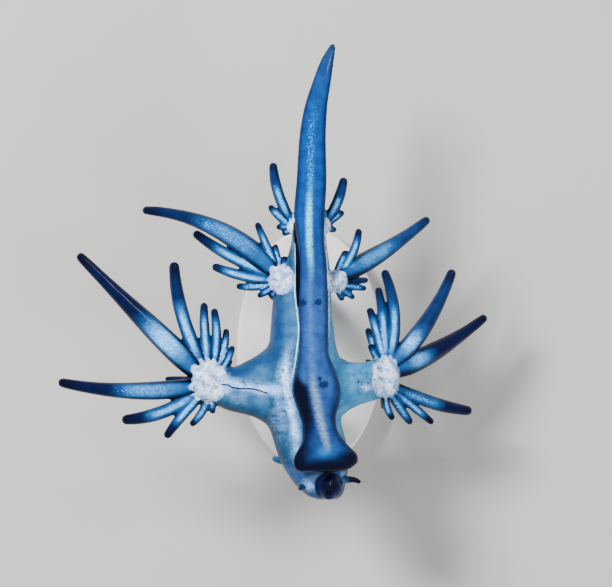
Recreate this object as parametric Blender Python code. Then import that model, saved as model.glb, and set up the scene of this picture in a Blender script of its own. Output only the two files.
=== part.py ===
"""Blue dragon sea slug, life size, floating belly up with its foot to the viewer, on a display stand.

Metres, +Z up. +Y runs towards the tail and +X to the right as seen from above. The animal is rolled to
its right, so the fans of cerata on that side hang lower. The origin is the middle of the stand's underside.
"""

import math
from collections import namedtuple

import bmesh
import bpy
import numpy as np
from mathutils import Matrix, Vector

MM = 0.001
GAP = 0.3 * MM  # free space between two pieces that touch in life
AXIS_HEIGHT = 10.6 * MM  # the body's long axis above the floor
FAR = 60 * MM  # a length that reaches past the whole animal

# Outlines in millimetres, seen from above and from the side. Heights count from the body's axis.
# Body: along Y, its left and right edge, its underside and its topside under the foot.
BODY = (
    (-10.47, 0.55, 1.90, -0.75, 0.10),
    (-10.30, 0.00, 2.15, -1.10, 0.40),
    (-9.90, -0.55, 2.38, -1.40, 0.65),
    (-9.10, -1.30, 2.55, -1.65, 0.90),
    (-7.70, -2.10, 2.75, -1.80, 1.20),
    (-6.30, -2.60, 2.50, -1.90, 1.45),
    (-5.00, -3.05, 2.20, -2.05, 1.65),
    (-3.00, -3.40, 2.30, -2.20, 1.85),
    (-1.00, -3.20, 2.15, -2.15, 1.80),
    (0.70, -2.85, 1.75, -2.00, 1.70),
    (3.50, -2.60, 1.50, -1.80, 1.45),
    (5.00, -2.20, 1.45, -1.65, 1.30),
    (6.30, -1.65, 1.33, -1.45, 1.20),
    (7.70, -1.30, 1.15, -1.30, 1.10),
    (9.60, -1.18, 1.10, -1.20, 1.05),
)
BODY_SHEAR = -0.12  # rise per length towards the right, from the roll

# Foot: along Y, its left and right edge, and its thickness as a share of FOOT_RISE and FOOT_ROOT.
FOOT = (
    (-8.50, -0.55, 1.70, 0.40),
    (-8.42, -0.90, 2.45, 0.75),
    (-8.20, -1.08, 2.95, 1.00),
    (-7.75, -1.16, 3.36, 1.15),
    (-7.35, -1.05, 3.32, 1.20),
    (-6.90, -0.80, 2.92, 1.15),
    (-6.30, -0.46, 2.35, 1.05),
    (-5.40, -0.41, 1.85, 1.00),
    (-4.80, -0.54, 1.79, 1.00),
    (-3.60, -0.98, 2.08, 1.00),
    (-2.80, -1.19, 2.14, 1.00),
    (-1.60, -0.94, 1.82, 1.00),
    (0.00, -0.74, 1.26, 1.00),
    (3.50, -0.77, 1.26, 1.00),
    (6.30, -0.77, 1.12, 1.00),
    (7.70, -0.91, 1.00, 1.00),
    (9.60, -1.12, 1.05, 1.00),
)
FOOT_ROLL = ((-8.5, 17.0), (2.0, 17.0), (9.6, 8.0))  # degrees that the sole leans to the right, along Y
FOOT_RISE = 0.48 * MM
FOOT_ROOT = 0.50 * MM
FOOT_LIFT = ((-8.5, 0.45), (-6.6, 0.20), (-4.5, 0.0), (9.6, 0.0))  # the front lip stands clear of the head
FOOT_FRONT = -8.0 * MM  # ahead of this the lip rounds off

# Tail: as the body, with the foot grown into it.
TAIL = (
    (9.60, -1.15, 1.10, -1.18, 1.42),
    (11.90, -0.96, 1.18, -1.10, 1.20),
    (14.70, -0.78, 1.13, -1.05, 0.90),
    (16.80, -0.45, 1.22, -1.00, 0.62),
    (18.90, 0.21, 1.51, -0.95, 0.30),
    (20.30, 0.75, 1.70, -0.90, 0.00),
    (21.10, 1.20, 1.80, -0.85, -0.22),
    (21.45, 1.47, 1.80, -0.73, -0.42),
)

# Where the long parts are divided, along Y.
HEAD_END = -7.90 * MM
BODY_CUTS = (1.10 * MM, 3.55 * MM)
FOOT_CUTS = (-4.20 * MM, 1.60 * MM)
TAIL_START = 9.60 * MM
TAIL_CUT = 15.40 * MM

# Arms, from the body to the middle of their hub: along X, their front and rear edge, their underside and
# their topside; and the X at which the arm ends and its fan of cerata begins.
Arm = namedtuple("Arm", "stations end")
ARMS = {
    "left": Arm(
        stations=(
            (-1.50, -5.30, 0.30, -1.55, 1.20),
            (-2.70, -5.40, 0.40, -1.50, 1.25),
            (-3.36, -5.05, -0.05, -1.35, 1.30),
            (-4.20, -4.62, -0.63, -1.05, 1.40),
            (-5.60, -4.27, -1.19, -0.75, 1.55),
            (-6.40, -3.95, -1.05, -0.60, 1.60),
            (-7.10, -3.45, -0.95, -0.35, 1.45),
        ),
        end=-5.55,
    ),
    "right": Arm(
        stations=(
            (0.80, -4.60, -0.50, -1.65, 0.90),
            (2.00, -4.70, -0.50, -1.85, 0.75),
            (2.80, -4.20, -0.85, -2.10, 0.45),
            (3.50, -3.85, -0.88, -2.35, 0.10),
            (4.20, -3.64, -0.77, -2.65, -0.30),
            (4.80, -3.45, -0.70, -3.00, -0.75),
            (5.30, -3.15, -0.80, -3.20, -1.20),
        ),
        end=4.05,
    ),
}

# One ceras: where it leaves the hub and where its tip points, as bearings in degrees from +X; how far the tip
# reaches from the hub's middle, its greatest width and its bow to the left, in millimetres; and the rise of
# its tip above the fan's plane, in millimetres.
Ceras = namedtuple("Ceras", "root bearing reach width bow rise")
# A fan: its hub's middle and radii, its fall per length away from the body, and the bearing that divides it
# in two, or None where it stays whole.
Fan = namedtuple("Fan", "hub radii fall split cerata")
FANS = {
    "front_left": Fan(
        hub=(-7.07, -2.17, 0.55),
        radii=(1.20, 1.47, 1.10),
        fall=0.04,
        split=160,
        cerata=(
            Ceras(150, 135.9, 12.75, 1.68, 0.02, 0.60),
            Ceras(108, 106.3, 8.70, 1.02, 0.50, 0.20),
            Ceras(90, 93.6, 5.50, 0.74, 0.10, -0.30),
            Ceras(70, 86.1, 5.10, 0.70, -0.24, 0.30),
            Ceras(52, 71.9, 3.87, 0.62, -0.22, -0.25),
            Ceras(36, 56.0, 3.00, 0.54, -0.18, 0.25),
            Ceras(26, 43.0, 2.20, 0.50, 0.00, -0.25),
            Ceras(176, 177.5, 3.10, 0.52, 0.00, -1.10),
            Ceras(204, 180.3, 10.55, 1.36, 0.49, 0.00),
            Ceras(222, 204.0, 6.70, 0.98, 0.52, -0.55),
            Ceras(247, 232.6, 5.00, 0.76, -0.13, -0.15),
            Ceras(268, 247.2, 3.38, 0.62, 0.26, -0.60),
            Ceras(282, 277.0, 2.30, 0.54, 0.00, -0.20),
        ),
    ),
    "front_right": Fan(
        hub=(5.32, -1.96, -2.20),
        radii=(0.95, 1.40, 1.10),
        fall=0.50,
        split=3,
        cerata=(
            Ceras(134, 139.0, 1.85, 0.50, 0.00, 0.40),
            Ceras(121, 116.6, 2.60, 0.52, 0.00, 0.80),
            Ceras(110, 110.4, 3.72, 0.64, 0.05, 0.35),
            Ceras(100, 103.5, 5.05, 0.70, -0.10, 0.80),
            Ceras(90, 94.9, 6.38, 0.74, -0.14, 0.20),
            Ceras(80, 91.2, 7.58, 0.86, -0.65, 0.70),
            Ceras(68, 58.0, 8.97, 1.38, -0.50, 0.80),
            Ceras(34, 31.1, 8.32, 1.54, -0.30, -0.20),
            Ceras(-40, -21.4, 6.53, 0.94, -0.30, 0.20),
            Ceras(-58, -43.8, 4.65, 0.62, 0.00, 0.55),
            Ceras(-76, -60.8, 3.72, 0.68, -0.05, -0.20),
            Ceras(-88, -79.5, 3.00, 0.58, -0.24, 0.45),
            Ceras(-101, -94.0, 2.20, 0.54, 0.00, -0.10),
        ),
    ),
    "middle_left": Fan(
        hub=(-2.03, 4.97, 0.25),
        radii=(0.85, 1.00, 0.85),
        fall=0.06,
        split=None,
        cerata=(
            Ceras(137, 153.6, 10.85, 1.54, -1.06, 0.30),
            Ceras(156, 151.7, 6.95, 0.86, 0.27, -0.45),
            Ceras(190, 169.1, 4.90, 0.76, 0.20, 0.10),
            Ceras(208, 188.7, 3.18, 0.60, 0.17, -0.40),
            Ceras(228, 216.7, 2.05, 0.52, 0.03, 0.15),
            Ceras(250, 240.6, 1.55, 0.50, 0.00, -0.15),
            Ceras(111, 113.2, 4.30, 0.62, 0.03, 0.50),
            Ceras(94, 99.7, 2.48, 0.54, 0.03, -0.10),
            Ceras(72, 81.0, 1.62, 0.50, 0.00, 0.25),
        ),
    ),
    "middle_right": Fan(
        hub=(1.82, 4.83, -0.55),
        radii=(0.78, 0.80, 0.80),
        fall=0.42,
        split=None,
        cerata=(
            Ceras(62, 34.0, 7.90, 1.46, -0.24, -0.20),
            Ceras(78, 66.3, 4.02, 0.66, -0.33, 0.85),
            Ceras(98, 72.0, 2.25, 0.54, 0.00, 0.10),
            Ceras(-12, 2.0, 2.26, 0.54, 0.00, -0.70),
            Ceras(-38, -14.0, 2.20, 0.52, 0.00, 0.30),
            Ceras(-60, -43.4, 1.76, 0.50, 0.00, 0.05),
            Ceras(-80, -71.6, 1.45, 0.50, 0.00, -0.15),
        ),
    ),
    "rear_left": Fan(
        hub=(-1.05, 8.61, -0.10),
        radii=(0.50, 0.60, 0.55),
        fall=0.12,
        split=None,
        cerata=(
            Ceras(122, 108.8, 4.77, 0.80, 0.32, 0.35),
            Ceras(155, 139.7, 2.36, 0.60, 0.13, -0.10),
            Ceras(180, 180.0, 1.30, 0.50, 0.00, 0.20),
            Ceras(212, 210.0, 1.00, 0.50, 0.00, -0.10),
        ),
    ),
    "rear_right": Fan(
        hub=(0.95, 8.65, -0.30),
        radii=(0.50, 0.55, 0.55),
        fall=0.35,
        split=None,
        cerata=(
            Ceras(62, 67.3, 3.72, 0.80, -0.22, 0.35),
            Ceras(35, 36.4, 1.75, 0.54, 0.00, 0.10),
            Ceras(-15, -17.0, 0.90, 0.50, 0.00, -0.05),
        ),
    ),
}
# A ceras's width along it: slim ones are blunt fingers, stout ones are lances.
FINGER = ((0.0, 0.66), (0.15, 0.86), (0.35, 1.0), (0.6, 0.99), (0.75, 0.92), (0.88, 0.82), (1.0, 0.70))
LANCE = (
    (0.0, 0.62),
    (0.08, 0.88),
    (0.18, 1.0),
    (0.35, 0.94),
    (0.5, 0.81),
    (0.65, 0.65),
    (0.8, 0.52),
    (0.92, 0.45),
    (1.0, 0.36),
)
FINGER_WIDTH = 1.0
LANCE_WIDTH = 1.5
CERAS_SINK = 0.55  # how deep a root sits in its hub, as a share of the hub's radius
RING_STEP = 1.4
CERAS_SIDES = ((2.0, 6), (7.0, 7), (20.0, 9))  # how many sides a ceras has up to each length

# Mouth: a dark dome on the front of the head, with a slit between low lips.
MOUTH_CENTRE = (1.33, -9.52, 0.16)
MOUTH_RADII = (0.98, 0.98, 0.95)
MOUTH_LEAN = 34  # degrees that it faces forward from straight up
MOUTH_SLIT = (0.20, 0.42, 0.45)
LIP_SPREAD = (0.36, 0.54)  # half width and half length of the ring of the lips' middle line
LIP_RADIUS = 0.17
LIP_DEPTH = 0.20  # how far the lips' middle line lies below the top of the dome
LIP_STEPS = 14
LIP_SIDES = 6

# Feelers: root, bend point and tip, with their width at root and tip.
Feeler = namedtuple("Feeler", "root bend tip thick thin")
FEELERS = {
    "oral_tentacle_right": Feeler((1.60, -9.35, -0.05), (2.90, -8.85, 0.1), (3.43, -9.22, 0.0), 0.66, 0.34),
    "oral_tentacle_left": Feeler((0.0, -9.2, -0.3), (-0.5, -9.6, 0.1), (-0.66, -9.66, 0.95), 0.64, 0.40),
    "rhinophore_left": Feeler((-1.2, -7.85, -0.7), (-2.1, -7.80, -0.7), (-2.46, -7.62, -0.65), 0.62, 0.46),
    "rhinophore_right": Feeler((1.60, -7.85, -1.0), (2.70, -7.85, -1.25), (3.10, -7.60, -1.50), 0.62, 0.46),
}

BASE_HALF = (5.2, 8.6)
BASE_THICK = 1.6 * MM
BASE_BEVEL = 0.3 * MM
ROD_RADIUS = 0.55 * MM
COLLAR_RADIUS = 1.15 * MM
COLLAR_HEIGHT = 0.6 * MM
COLLAR_BEVEL = 0.2 * MM
RODS = {"stand_rod_front": (-0.55, -3.0), "stand_rod_rear": (-0.35, 4.6)}

BODY_SIDES = 24
TAIL_SIDES = 18
FOOT_SIDES = 18
ARM_SIDES = 18
FEELER_SIDES = 10
ROD_SIDES = 20
BASE_SIDES = 40
TIP_LEANS = (35, 65)  # degrees round a tube's domed end at which it has a ring of points

# Each finish: its colour, roughness and metallic value.
FINISHES = {
    "silver_skin": ((0.42, 0.58, 0.72), 0.30, 0.0),
    "blue_foot": ((0.03, 0.12, 0.42), 0.30, 0.0),
    "blue_cerata": ((0.05, 0.20, 0.50), 0.30, 0.0),
    "dark_mouth": ((0.005, 0.010, 0.045), 0.25, 0.0),
    "stand_plastic": ((0.75, 0.75, 0.73), 0.45, 0.0),
    "stand_steel": ((0.60, 0.60, 0.60), 0.35, 1.0),
}


def clear_scene():
    for obj in list(bpy.data.objects):
        bpy.data.objects.remove(obj)


def material(name):
    """The Principled material of that finish, made once."""
    found = bpy.data.materials.get(name)
    if found:
        return found
    colour, roughness, metallic = FINISHES[name]
    made = bpy.data.materials.new(name)
    made.use_nodes = True
    shader = made.node_tree.nodes["Principled BSDF"]
    shader.inputs["Base Color"].default_value = (*colour, 1)
    shader.inputs["Roughness"].default_value = roughness
    shader.inputs["Metallic"].default_value = metallic
    return made


def through(stations, at, column=1):
    """A column's value at a position, on a smooth curve through the stations that never overshoots them."""
    xs = [row[0] for row in stations]
    ys = [row[column] for row in stations]
    at = min(max(at, xs[0]), xs[-1])
    k = min(max(int(np.searchsorted(xs, at)) - 1, 0), len(xs) - 2)
    slopes = [(ys[i + 1] - ys[i]) / (xs[i + 1] - xs[i]) for i in range(len(xs) - 1)]

    def tangent(i):
        if i == 0 or i == len(xs) - 1:
            return slopes[0 if i == 0 else -1]
        before, after = slopes[i - 1], slopes[i]
        return 0.0 if before * after <= 0 else 2 * before * after / (before + after)

    width = xs[k + 1] - xs[k]
    t = (at - xs[k]) / width
    return (
        (2 * t**3 - 3 * t**2 + 1) * ys[k]
        + (t**3 - 2 * t**2 + t) * width * tangent(k)
        + (3 * t**2 - 2 * t**3) * ys[k + 1]
        + (t**3 - t**2) * width * tangent(k + 1)
    )


def section(stations, at, sides, grow, shear):
    """(across, height) of the points round a part's oval section."""
    low, high, under, over = (through(stations, at / MM, c) * MM for c in (1, 2, 3, 4))
    across, middle = (low + high) / 2, (under + over) / 2
    half, tall = (high - low) / 2 + grow, (over - under) / 2 + grow
    points = []
    for i in range(sides):
        turn = math.tau * i / sides
        u = half * math.cos(turn)
        points.append((across + u, AXIS_HEIGHT + middle + tall * math.sin(turn) + shear * u))
    return points


def body_ring(stations, y, sides=BODY_SIDES, grow=0.0):
    return [Vector((u, y, w)) for u, w in section(stations, y, sides, grow, BODY_SHEAR)]


def arm_ring(arm, x, grow=0.0):
    return [Vector((x, u, w)) for u, w in section(sorted(arm.stations), x, ARM_SIDES, grow, 0.0)]


def body_top(x, y):
    """Height of the body's surface above a point of its plan."""
    low, high, under, over = (through(BODY, y / MM, c) * MM for c in (1, 2, 3, 4))
    u = (x - (low + high) / 2) / ((high - low) / 2)
    rise = math.sqrt(max(0.0, 1 - u * u)) * (over - under) / 2
    return AXIS_HEIGHT + (over + under) / 2 + rise + BODY_SHEAR * (x - (low + high) / 2)


def foot_ring(y, grow=0.0):
    """A section of the sole: a rounded slab that leans with the body's roll and sinks into its back."""
    left, right, thick = (through(FOOT, y / MM, c) for c in (1, 2, 3))
    middle = (left + right) / 2 * MM
    roll = math.radians(through(FOOT_ROLL, y / MM))
    half = (right - left) / 2 * MM / math.cos(roll) + grow
    level = body_top(middle, y) + through(FOOT_LIFT, y / MM) * MM
    shifted = y - grow if y < FOOT_FRONT else y
    ring = []
    for i in range(FOOT_SIDES):
        turn = math.tau * i / FOOT_SIDES
        c, s = math.cos(turn), math.sin(turn)
        u = half * math.copysign(abs(c) ** 0.8, c)
        deep = FOOT_RISE if s > 0 else FOOT_ROOT
        w = (deep * thick + grow) * math.copysign(abs(s) ** 0.85, s)
        x = middle + u * math.cos(roll) + w * math.sin(roll)
        z = level - u * math.sin(roll) + w * math.cos(roll)
        ring.append(Vector((x, shifted, z)))
    return ring


def spaced(start, end, step):
    """Positions from start to end, evenly spaced at about that step."""
    count = max(1, round(abs(end - start) / step))
    return [start + (end - start) * i / count for i in range(count + 1)]


def mesh_object(name, points, faces):
    mesh = bpy.data.meshes.new(name)
    mesh.from_pydata(points, [], faces)
    made = bmesh.new()
    made.from_mesh(mesh)
    bmesh.ops.recalc_face_normals(made, faces=made.faces)
    made.to_mesh(mesh)
    made.free()
    obj = bpy.data.objects.new(name, mesh)
    bpy.context.collection.objects.link(obj)
    return obj


def loft(name, rings):
    """A closed solid through rings of equal count, capped flat at both ends."""
    sides = len(rings[0])
    faces = [tuple(range(sides)), tuple(range((len(rings) - 1) * sides, len(rings) * sides))]
    for k in range(len(rings) - 1):
        for i in range(sides):
            a, b = k * sides + i, k * sides + (i + 1) % sides
            faces.append((a, b, b + sides, a + sides))
    return mesh_object(name, [point for ring in rings for point in ring], faces)


def circle(centre, radius, across, along, sides):
    """Points round a circle in the plane of two unit vectors."""
    turns = [math.tau * i / sides for i in range(sides)]
    return [centre + radius * (math.cos(turn) * across + math.sin(turn) * along) for turn in turns]


def tube(name, path, radii, sides):
    """A solid of round sections along a path, its end closed by a dome."""
    rings = []
    side = Vector((0, 0, 1)).cross(path[1] - path[0]).normalized()
    for k, point in enumerate(path):
        ahead = (path[min(k + 1, len(path) - 1)] - path[max(k - 1, 0)]).normalized()
        side = (side - side.dot(ahead) * ahead).normalized()
        rings.append(circle(point, radii[k], side, ahead.cross(side), sides))
    ahead = (path[-1] - path[-2]).normalized()
    for lean in TIP_LEANS:
        out, shrink = math.sin(math.radians(lean)), math.cos(math.radians(lean))
        rim = rings[len(path) - 1]
        rings.append([path[-1] + shrink * (p - path[-1]) + radii[-1] * out * ahead for p in rim])
    return loft(name, rings)


def ellipsoid(name, centre, radii, turn=Matrix.Identity(3), rings=9, segments=16):
    made = bmesh.new()
    bmesh.ops.create_uvsphere(made, u_segments=segments, v_segments=rings, radius=1)
    mesh = bpy.data.meshes.new(name)
    made.to_mesh(mesh)
    made.free()
    mesh.transform(Matrix.Translation(centre) @ turn.to_4x4() @ Matrix.Diagonal((*radii, 1)))
    obj = bpy.data.objects.new(name, mesh)
    bpy.context.collection.objects.link(obj)
    return obj


def keep_largest(obj):
    """Drops all but the largest closed surface."""
    made = bmesh.new()
    made.from_mesh(obj.data)
    left, surfaces = set(made.faces), []
    while left:
        stack, surface = [left.pop()], []
        while stack:
            face = stack.pop()
            surface.append(face)
            for edge in face.edges:
                for beside in edge.link_faces:
                    if beside in left:
                        left.discard(beside)
                        stack.append(beside)
        surfaces.append(surface)
    surfaces.sort(key=lambda faces: sum(face.calc_area() for face in faces))
    bmesh.ops.delete(made, geom=[face for faces in surfaces[:-1] for face in faces], context="FACES")
    made.to_mesh(obj.data)
    made.free()


def combine(obj, others, operation, keep_others=False):
    """Unites obj with the others, or cuts them from it, as its own final mesh."""
    group = bpy.data.collections.new("operands")
    for other in others:
        group.objects.link(other)
    modifier = obj.modifiers.new("Boolean", "BOOLEAN")
    modifier.operation = operation
    modifier.operand_type = "COLLECTION"
    modifier.collection = group
    graph = bpy.context.evaluated_depsgraph_get()
    result = bpy.data.meshes.new_from_object(obj.evaluated_get(graph))
    obj.modifiers.clear()
    obj.data = result
    bpy.data.collections.remove(group)
    if not keep_others:
        for other in others:
            bpy.data.objects.remove(other)
    keep_largest(obj)
    return obj


def finished(obj, name, slot):
    """Names a node, gives it its material and shades its round faces smooth."""
    obj.name = name
    obj.data.name = name
    obj.data.materials.clear()
    obj.data.materials.append(material(slot))
    obj.data.shade_smooth()
    obj.data.set_sharp_from_angle(angle=math.radians(40))
    return obj


def half_space(fan, side):
    """A large box on one side of the upright plane that splits a fan, from half a gap before the plane."""
    heading = math.radians(fan.split)
    beside = side * Vector((-math.sin(heading), math.cos(heading), 0))
    middle = Vector((fan.hub[0] * MM, fan.hub[1] * MM, 0)) + beside * (FAR - GAP) / 2
    made = bmesh.new()
    bmesh.ops.create_cube(made, size=FAR)
    mesh = bpy.data.meshes.new("half_space")
    made.to_mesh(mesh)
    made.free()
    mesh.transform(Matrix.Translation(middle) @ Matrix.Rotation(heading, 4, "Z"))
    obj = bpy.data.objects.new("half_space", mesh)
    bpy.context.collection.objects.link(obj)
    return obj


def make_body(foot_room, mouth_room):
    """Head, body and tail: lengths of one lofted form, with room for the foot and the mouth."""
    start, end = BODY[0][0] * MM, TAIL_START - GAP
    lengths = {
        "head": (start, HEAD_END, 0.42 * MM),
        "body_front": (HEAD_END + GAP, BODY_CUTS[0], 0.8 * MM),
        "body_middle": (BODY_CUTS[0] + GAP, BODY_CUTS[1], 0.8 * MM),
        "body_rear": (BODY_CUTS[1] + GAP, end, 0.7 * MM),
    }
    for name, (low, high, step) in lengths.items():
        rooms = [foot_room, mouth_room] if name == "head" else [foot_room]
        node = loft(name, [body_ring(BODY, y) for y in spaced(low, high, step)])
        finished(combine(node, rooms, "DIFFERENCE", keep_others=True), name, "silver_skin")
    tails = {
        "tail_base": (TAIL_START, TAIL_CUT, 0.9 * MM),
        "tail_tip": (TAIL_CUT + GAP, TAIL[-1][0] * MM, 0.6 * MM),
    }
    for name, (low, high, step) in tails.items():
        rings = [body_ring(TAIL, y, TAIL_SIDES) for y in spaced(low, high, step)]
        finished(loft(name, rings), name, "blue_foot")


def make_foot():
    """The sole in three lengths, and the room that the body leaves for all of it."""
    start, end = FOOT[0][0] * MM, TAIL_START - GAP
    front = [FOOT[0][0] * MM, FOOT[1][0] * MM, FOOT[2][0] * MM, FOOT_FRONT]
    lengths = {
        "foot_front": front + spaced(FOOT_FRONT, FOOT_CUTS[0], 0.35 * MM)[1:],
        "foot_middle": spaced(FOOT_CUTS[0] + GAP, FOOT_CUTS[1], 0.55 * MM),
        "foot_rear": spaced(FOOT_CUTS[1] + GAP, end, 0.9 * MM),
    }
    for name, stations in lengths.items():
        finished(loft(name, [foot_ring(y) for y in stations]), name, "blue_foot")
    room = front + spaced(FOOT_FRONT, end + FOOT_RISE, 0.45 * MM)[1:]
    return loft("foot_room", [foot_ring(y, GAP) for y in room])


def make_mouth(foot_room):
    """The mouth's dome with its lips and slit, facing up and forward, and the room that the head leaves."""
    lean = Matrix.Rotation(math.radians(MOUTH_LEAN), 3, "X")
    centre = Vector(MOUTH_CENTRE) * MM + Vector((0, 0, AXIS_HEIGHT))
    facing = lean @ Vector((0, 0, 1))
    top = centre + facing * MOUTH_RADII[2] * MM
    rings = []
    for i in range(LIP_STEPS):
        turn = math.tau * i / LIP_STEPS
        outward = Vector((math.cos(turn), math.sin(turn), 0))
        spot = Vector((LIP_SPREAD[0] * outward.x, LIP_SPREAD[1] * outward.y, -LIP_DEPTH))
        rings.append(circle(top + lean @ spot * MM, LIP_RADIUS * MM, lean @ outward, facing, LIP_SIDES))
    faces = []
    for k in range(LIP_STEPS):
        this, after = k * LIP_SIDES, (k + 1) % LIP_STEPS * LIP_SIDES
        for i in range(LIP_SIDES):
            j = (i + 1) % LIP_SIDES
            faces.append((this + i, this + j, after + j, after + i))
    lips = mesh_object("lips", [point for ring in rings for point in ring], faces)
    slit = ellipsoid("slit", top, [r * MM for r in MOUTH_SLIT], lean, 8, 12)
    dome = ellipsoid("mouth", centre, [r * MM for r in MOUTH_RADII], lean, 10, 18)
    combine(dome, [lips], "UNION")
    combine(dome, [slit], "DIFFERENCE")
    combine(dome, [foot_room], "DIFFERENCE", keep_others=True)
    finished(dome, "mouth", "dark_mouth")
    return ellipsoid("mouth_room", centre, [r * MM + GAP for r in MOUTH_RADII], lean, 10, 18)


def bowed(root, bend, tip, t):
    """A point on the curve from root to tip that bends towards a third point, all in millimetres."""
    spot = (1 - t) ** 2 * Vector(root) + 2 * t * (1 - t) * Vector(bend) + t * t * Vector(tip)
    return spot * MM + Vector((0, 0, AXIS_HEIGHT))


def make_feelers(rooms):
    """Two oral tentacles and two rhinophores, each cut clear of the head."""
    for name, feeler in FEELERS.items():
        steps = [i / 6 for i in range(7)]
        path = [bowed(feeler.root, feeler.bend, feeler.tip, t) for t in steps]
        radii = [(feeler.thick + (feeler.thin - feeler.thick) * t) / 2 * MM for t in steps]
        node = tube(name, path, radii, FEELER_SIDES)
        combine(node, rooms, "DIFFERENCE", keep_others=True)
        finished(node, name, "silver_skin")


def ceras_tube(fan, ceras):
    """One ceras: from inside its hub to its tip, on a bowed path that lies near the fan's plane."""
    hub = Vector(fan.hub)
    root_turn, tip_turn = math.radians(ceras.root), math.radians(ceras.bearing)
    sink = Vector((fan.radii[0] * math.cos(root_turn), fan.radii[1] * math.sin(root_turn), 0))
    root = hub + CERAS_SINK * sink
    tip = hub + ceras.reach * Vector((math.cos(tip_turn), math.sin(tip_turn), 0))
    chord = tip - root
    left = Vector((-chord.y, chord.x, 0)).normalized()
    bend = (root + tip) / 2 + 2 * ceras.bow * left
    long = math.hypot(chord.length, fan.fall * chord.x)
    rings = 3 + round(long / RING_STEP)
    sides = next(count for reach, count in CERAS_SIDES if long < reach)
    slender = min(max((ceras.width - FINGER_WIDTH) / (LANCE_WIDTH - FINGER_WIDTH), 0), 1)
    tip_radius = ceras.width / 2 * (slender * LANCE[-1][1] + (1 - slender) * FINGER[-1][1])
    path, radii = [], []
    for i in range(rings + 1):
        t = i / rings * (1 - tip_radius / long)
        spot = bowed(root, bend, tip, t)
        spot.z = AXIS_HEIGHT + (hub.z + ceras.rise * t) * MM - fan.fall * abs(spot.x - hub.x * MM)
        path.append(spot)
        share = slender * through(LANCE, t) + (1 - slender) * through(FINGER, t)
        radii.append(ceras.width / 2 * MM * share)
    return tube("ceras", path, radii, sides)


def fan_core(fan, arm):
    """The hub that cerata grow from, with the end of its arm where it has one."""
    outward = -1 if fan.hub[0] < 0 else 1
    turn = Matrix.Rotation(math.atan(fan.fall) * outward, 3, "Y")
    centre = Vector(fan.hub) * MM + Vector((0, 0, AXIS_HEIGHT))
    hub = ellipsoid("hub", centre, [r * MM for r in fan.radii], turn, 9, 16)
    if arm is None:
        return [hub]
    start, end = arm.end * MM + GAP * outward, arm.stations[-1][0] * MM
    return [hub, loft("arm_stub", [arm_ring(arm, x) for x in spaced(start, end, 0.4 * MM)])]


def fan_nodes(name, fan):
    """For each node of a fan: its name, its cerata, and the side of the split that it leaves, if any."""
    if fan.split is None:
        return [(f"cerata_{name}", fan.cerata, None)]
    left = [c for c in fan.cerata if math.sin(math.radians(c.root - fan.split)) > 0]
    right = [c for c in fan.cerata if c not in left]
    left_end, right_end = ("rear", "front") if fan.hub[0] > 0 else ("front", "rear")
    return [(f"cerata_{name}_{left_end}", left, -1), (f"cerata_{name}_{right_end}", right, 1)]


def make_fan(name, fan, arm, rooms):
    """The cerata of one hub, as one node or as a rear and a front node on either side of the fan's split."""
    for node_name, cerata, cut_side in fan_nodes(name, fan):
        pieces = fan_core(fan, arm) + [ceras_tube(fan, ceras) for ceras in cerata]
        node = combine(pieces[0], pieces[1:], "UNION")
        if cut_side is not None:
            combine(node, [half_space(fan, cut_side)], "DIFFERENCE")
        combine(node, rooms, "DIFFERENCE", keep_others=True)
        finished(node, node_name, "blue_cerata")


def make_arm(name, arm, rooms):
    """The stout arm between the body's flank and a front hub."""
    start, end = arm.stations[0][0] * MM, arm.end * MM
    node = loft(name, [arm_ring(arm, x) for x in spaced(start, end, 0.45 * MM)])
    combine(node, rooms, "DIFFERENCE", keep_others=True)
    finished(node, name, "silver_skin")


def make_stand(rooms):
    """A flat oval base and two rods with collars, up to the body's underside."""
    rings = []
    for height, inset in ((0, 0), (BASE_THICK - BASE_BEVEL, 0), (BASE_THICK, BASE_BEVEL)):
        half_x, half_y = BASE_HALF[0] * MM - inset, BASE_HALF[1] * MM - inset
        turns = [math.tau * i / BASE_SIDES for i in range(BASE_SIDES)]
        rings.append([Vector((half_x * math.cos(turn), half_y * math.sin(turn), height)) for turn in turns])
    finished(loft("stand_base", rings), "stand_base", "stand_plastic")
    foot = BASE_THICK + GAP
    collar = foot + COLLAR_HEIGHT
    for name, (x, y) in RODS.items():
        profile = (
            (COLLAR_RADIUS, foot),
            (COLLAR_RADIUS, collar - COLLAR_BEVEL),
            (COLLAR_RADIUS - COLLAR_BEVEL, collar),
            (ROD_RADIUS, collar),
            (ROD_RADIUS, AXIS_HEIGHT),
        )
        right, ahead = Vector((1, 0, 0)), Vector((0, 1, 0))
        rings = [circle(Vector((x * MM, y * MM, z)), r, right, ahead, ROD_SIDES) for r, z in profile]
        node = loft(name, rings)
        combine(node, rooms, "DIFFERENCE", keep_others=True)
        finished(node, name, "stand_steel")


def main():
    clear_scene()
    foot_room = make_foot()
    mouth_room = make_mouth(foot_room)
    make_body(foot_room, mouth_room)
    start, end = BODY[0][0] * MM - GAP, TAIL_START
    body_room = loft("body_room", [body_ring(BODY, y, grow=GAP) for y in spaced(start, end, 0.5 * MM)])
    rings = [body_ring(TAIL, y, TAIL_SIDES, GAP) for y in spaced(TAIL_START - GAP, TAIL_CUT, 0.9 * MM)]
    rooms = [body_room, foot_room, loft("tail_room", rings)]
    make_feelers(rooms)
    for side, arm in ARMS.items():
        make_arm(f"arm_{side}", arm, rooms)
    for name, fan in FANS.items():
        make_fan(name, fan, ARMS.get(name.removeprefix("front_")), rooms)
    make_stand([body_room])
    for helper in [mouth_room, *rooms]:
        bpy.data.objects.remove(helper)


main()
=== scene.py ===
"""The looks of the blue dragon sea slug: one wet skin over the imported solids, its markings, and the stand.

Shapes are worked out in millimetres, with heights counted from the body's long axis, and are set in the
frame's metres at the end. +Y runs towards the tail and +X to the right as the camera sees it.
"""

import math
from collections import namedtuple

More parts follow.
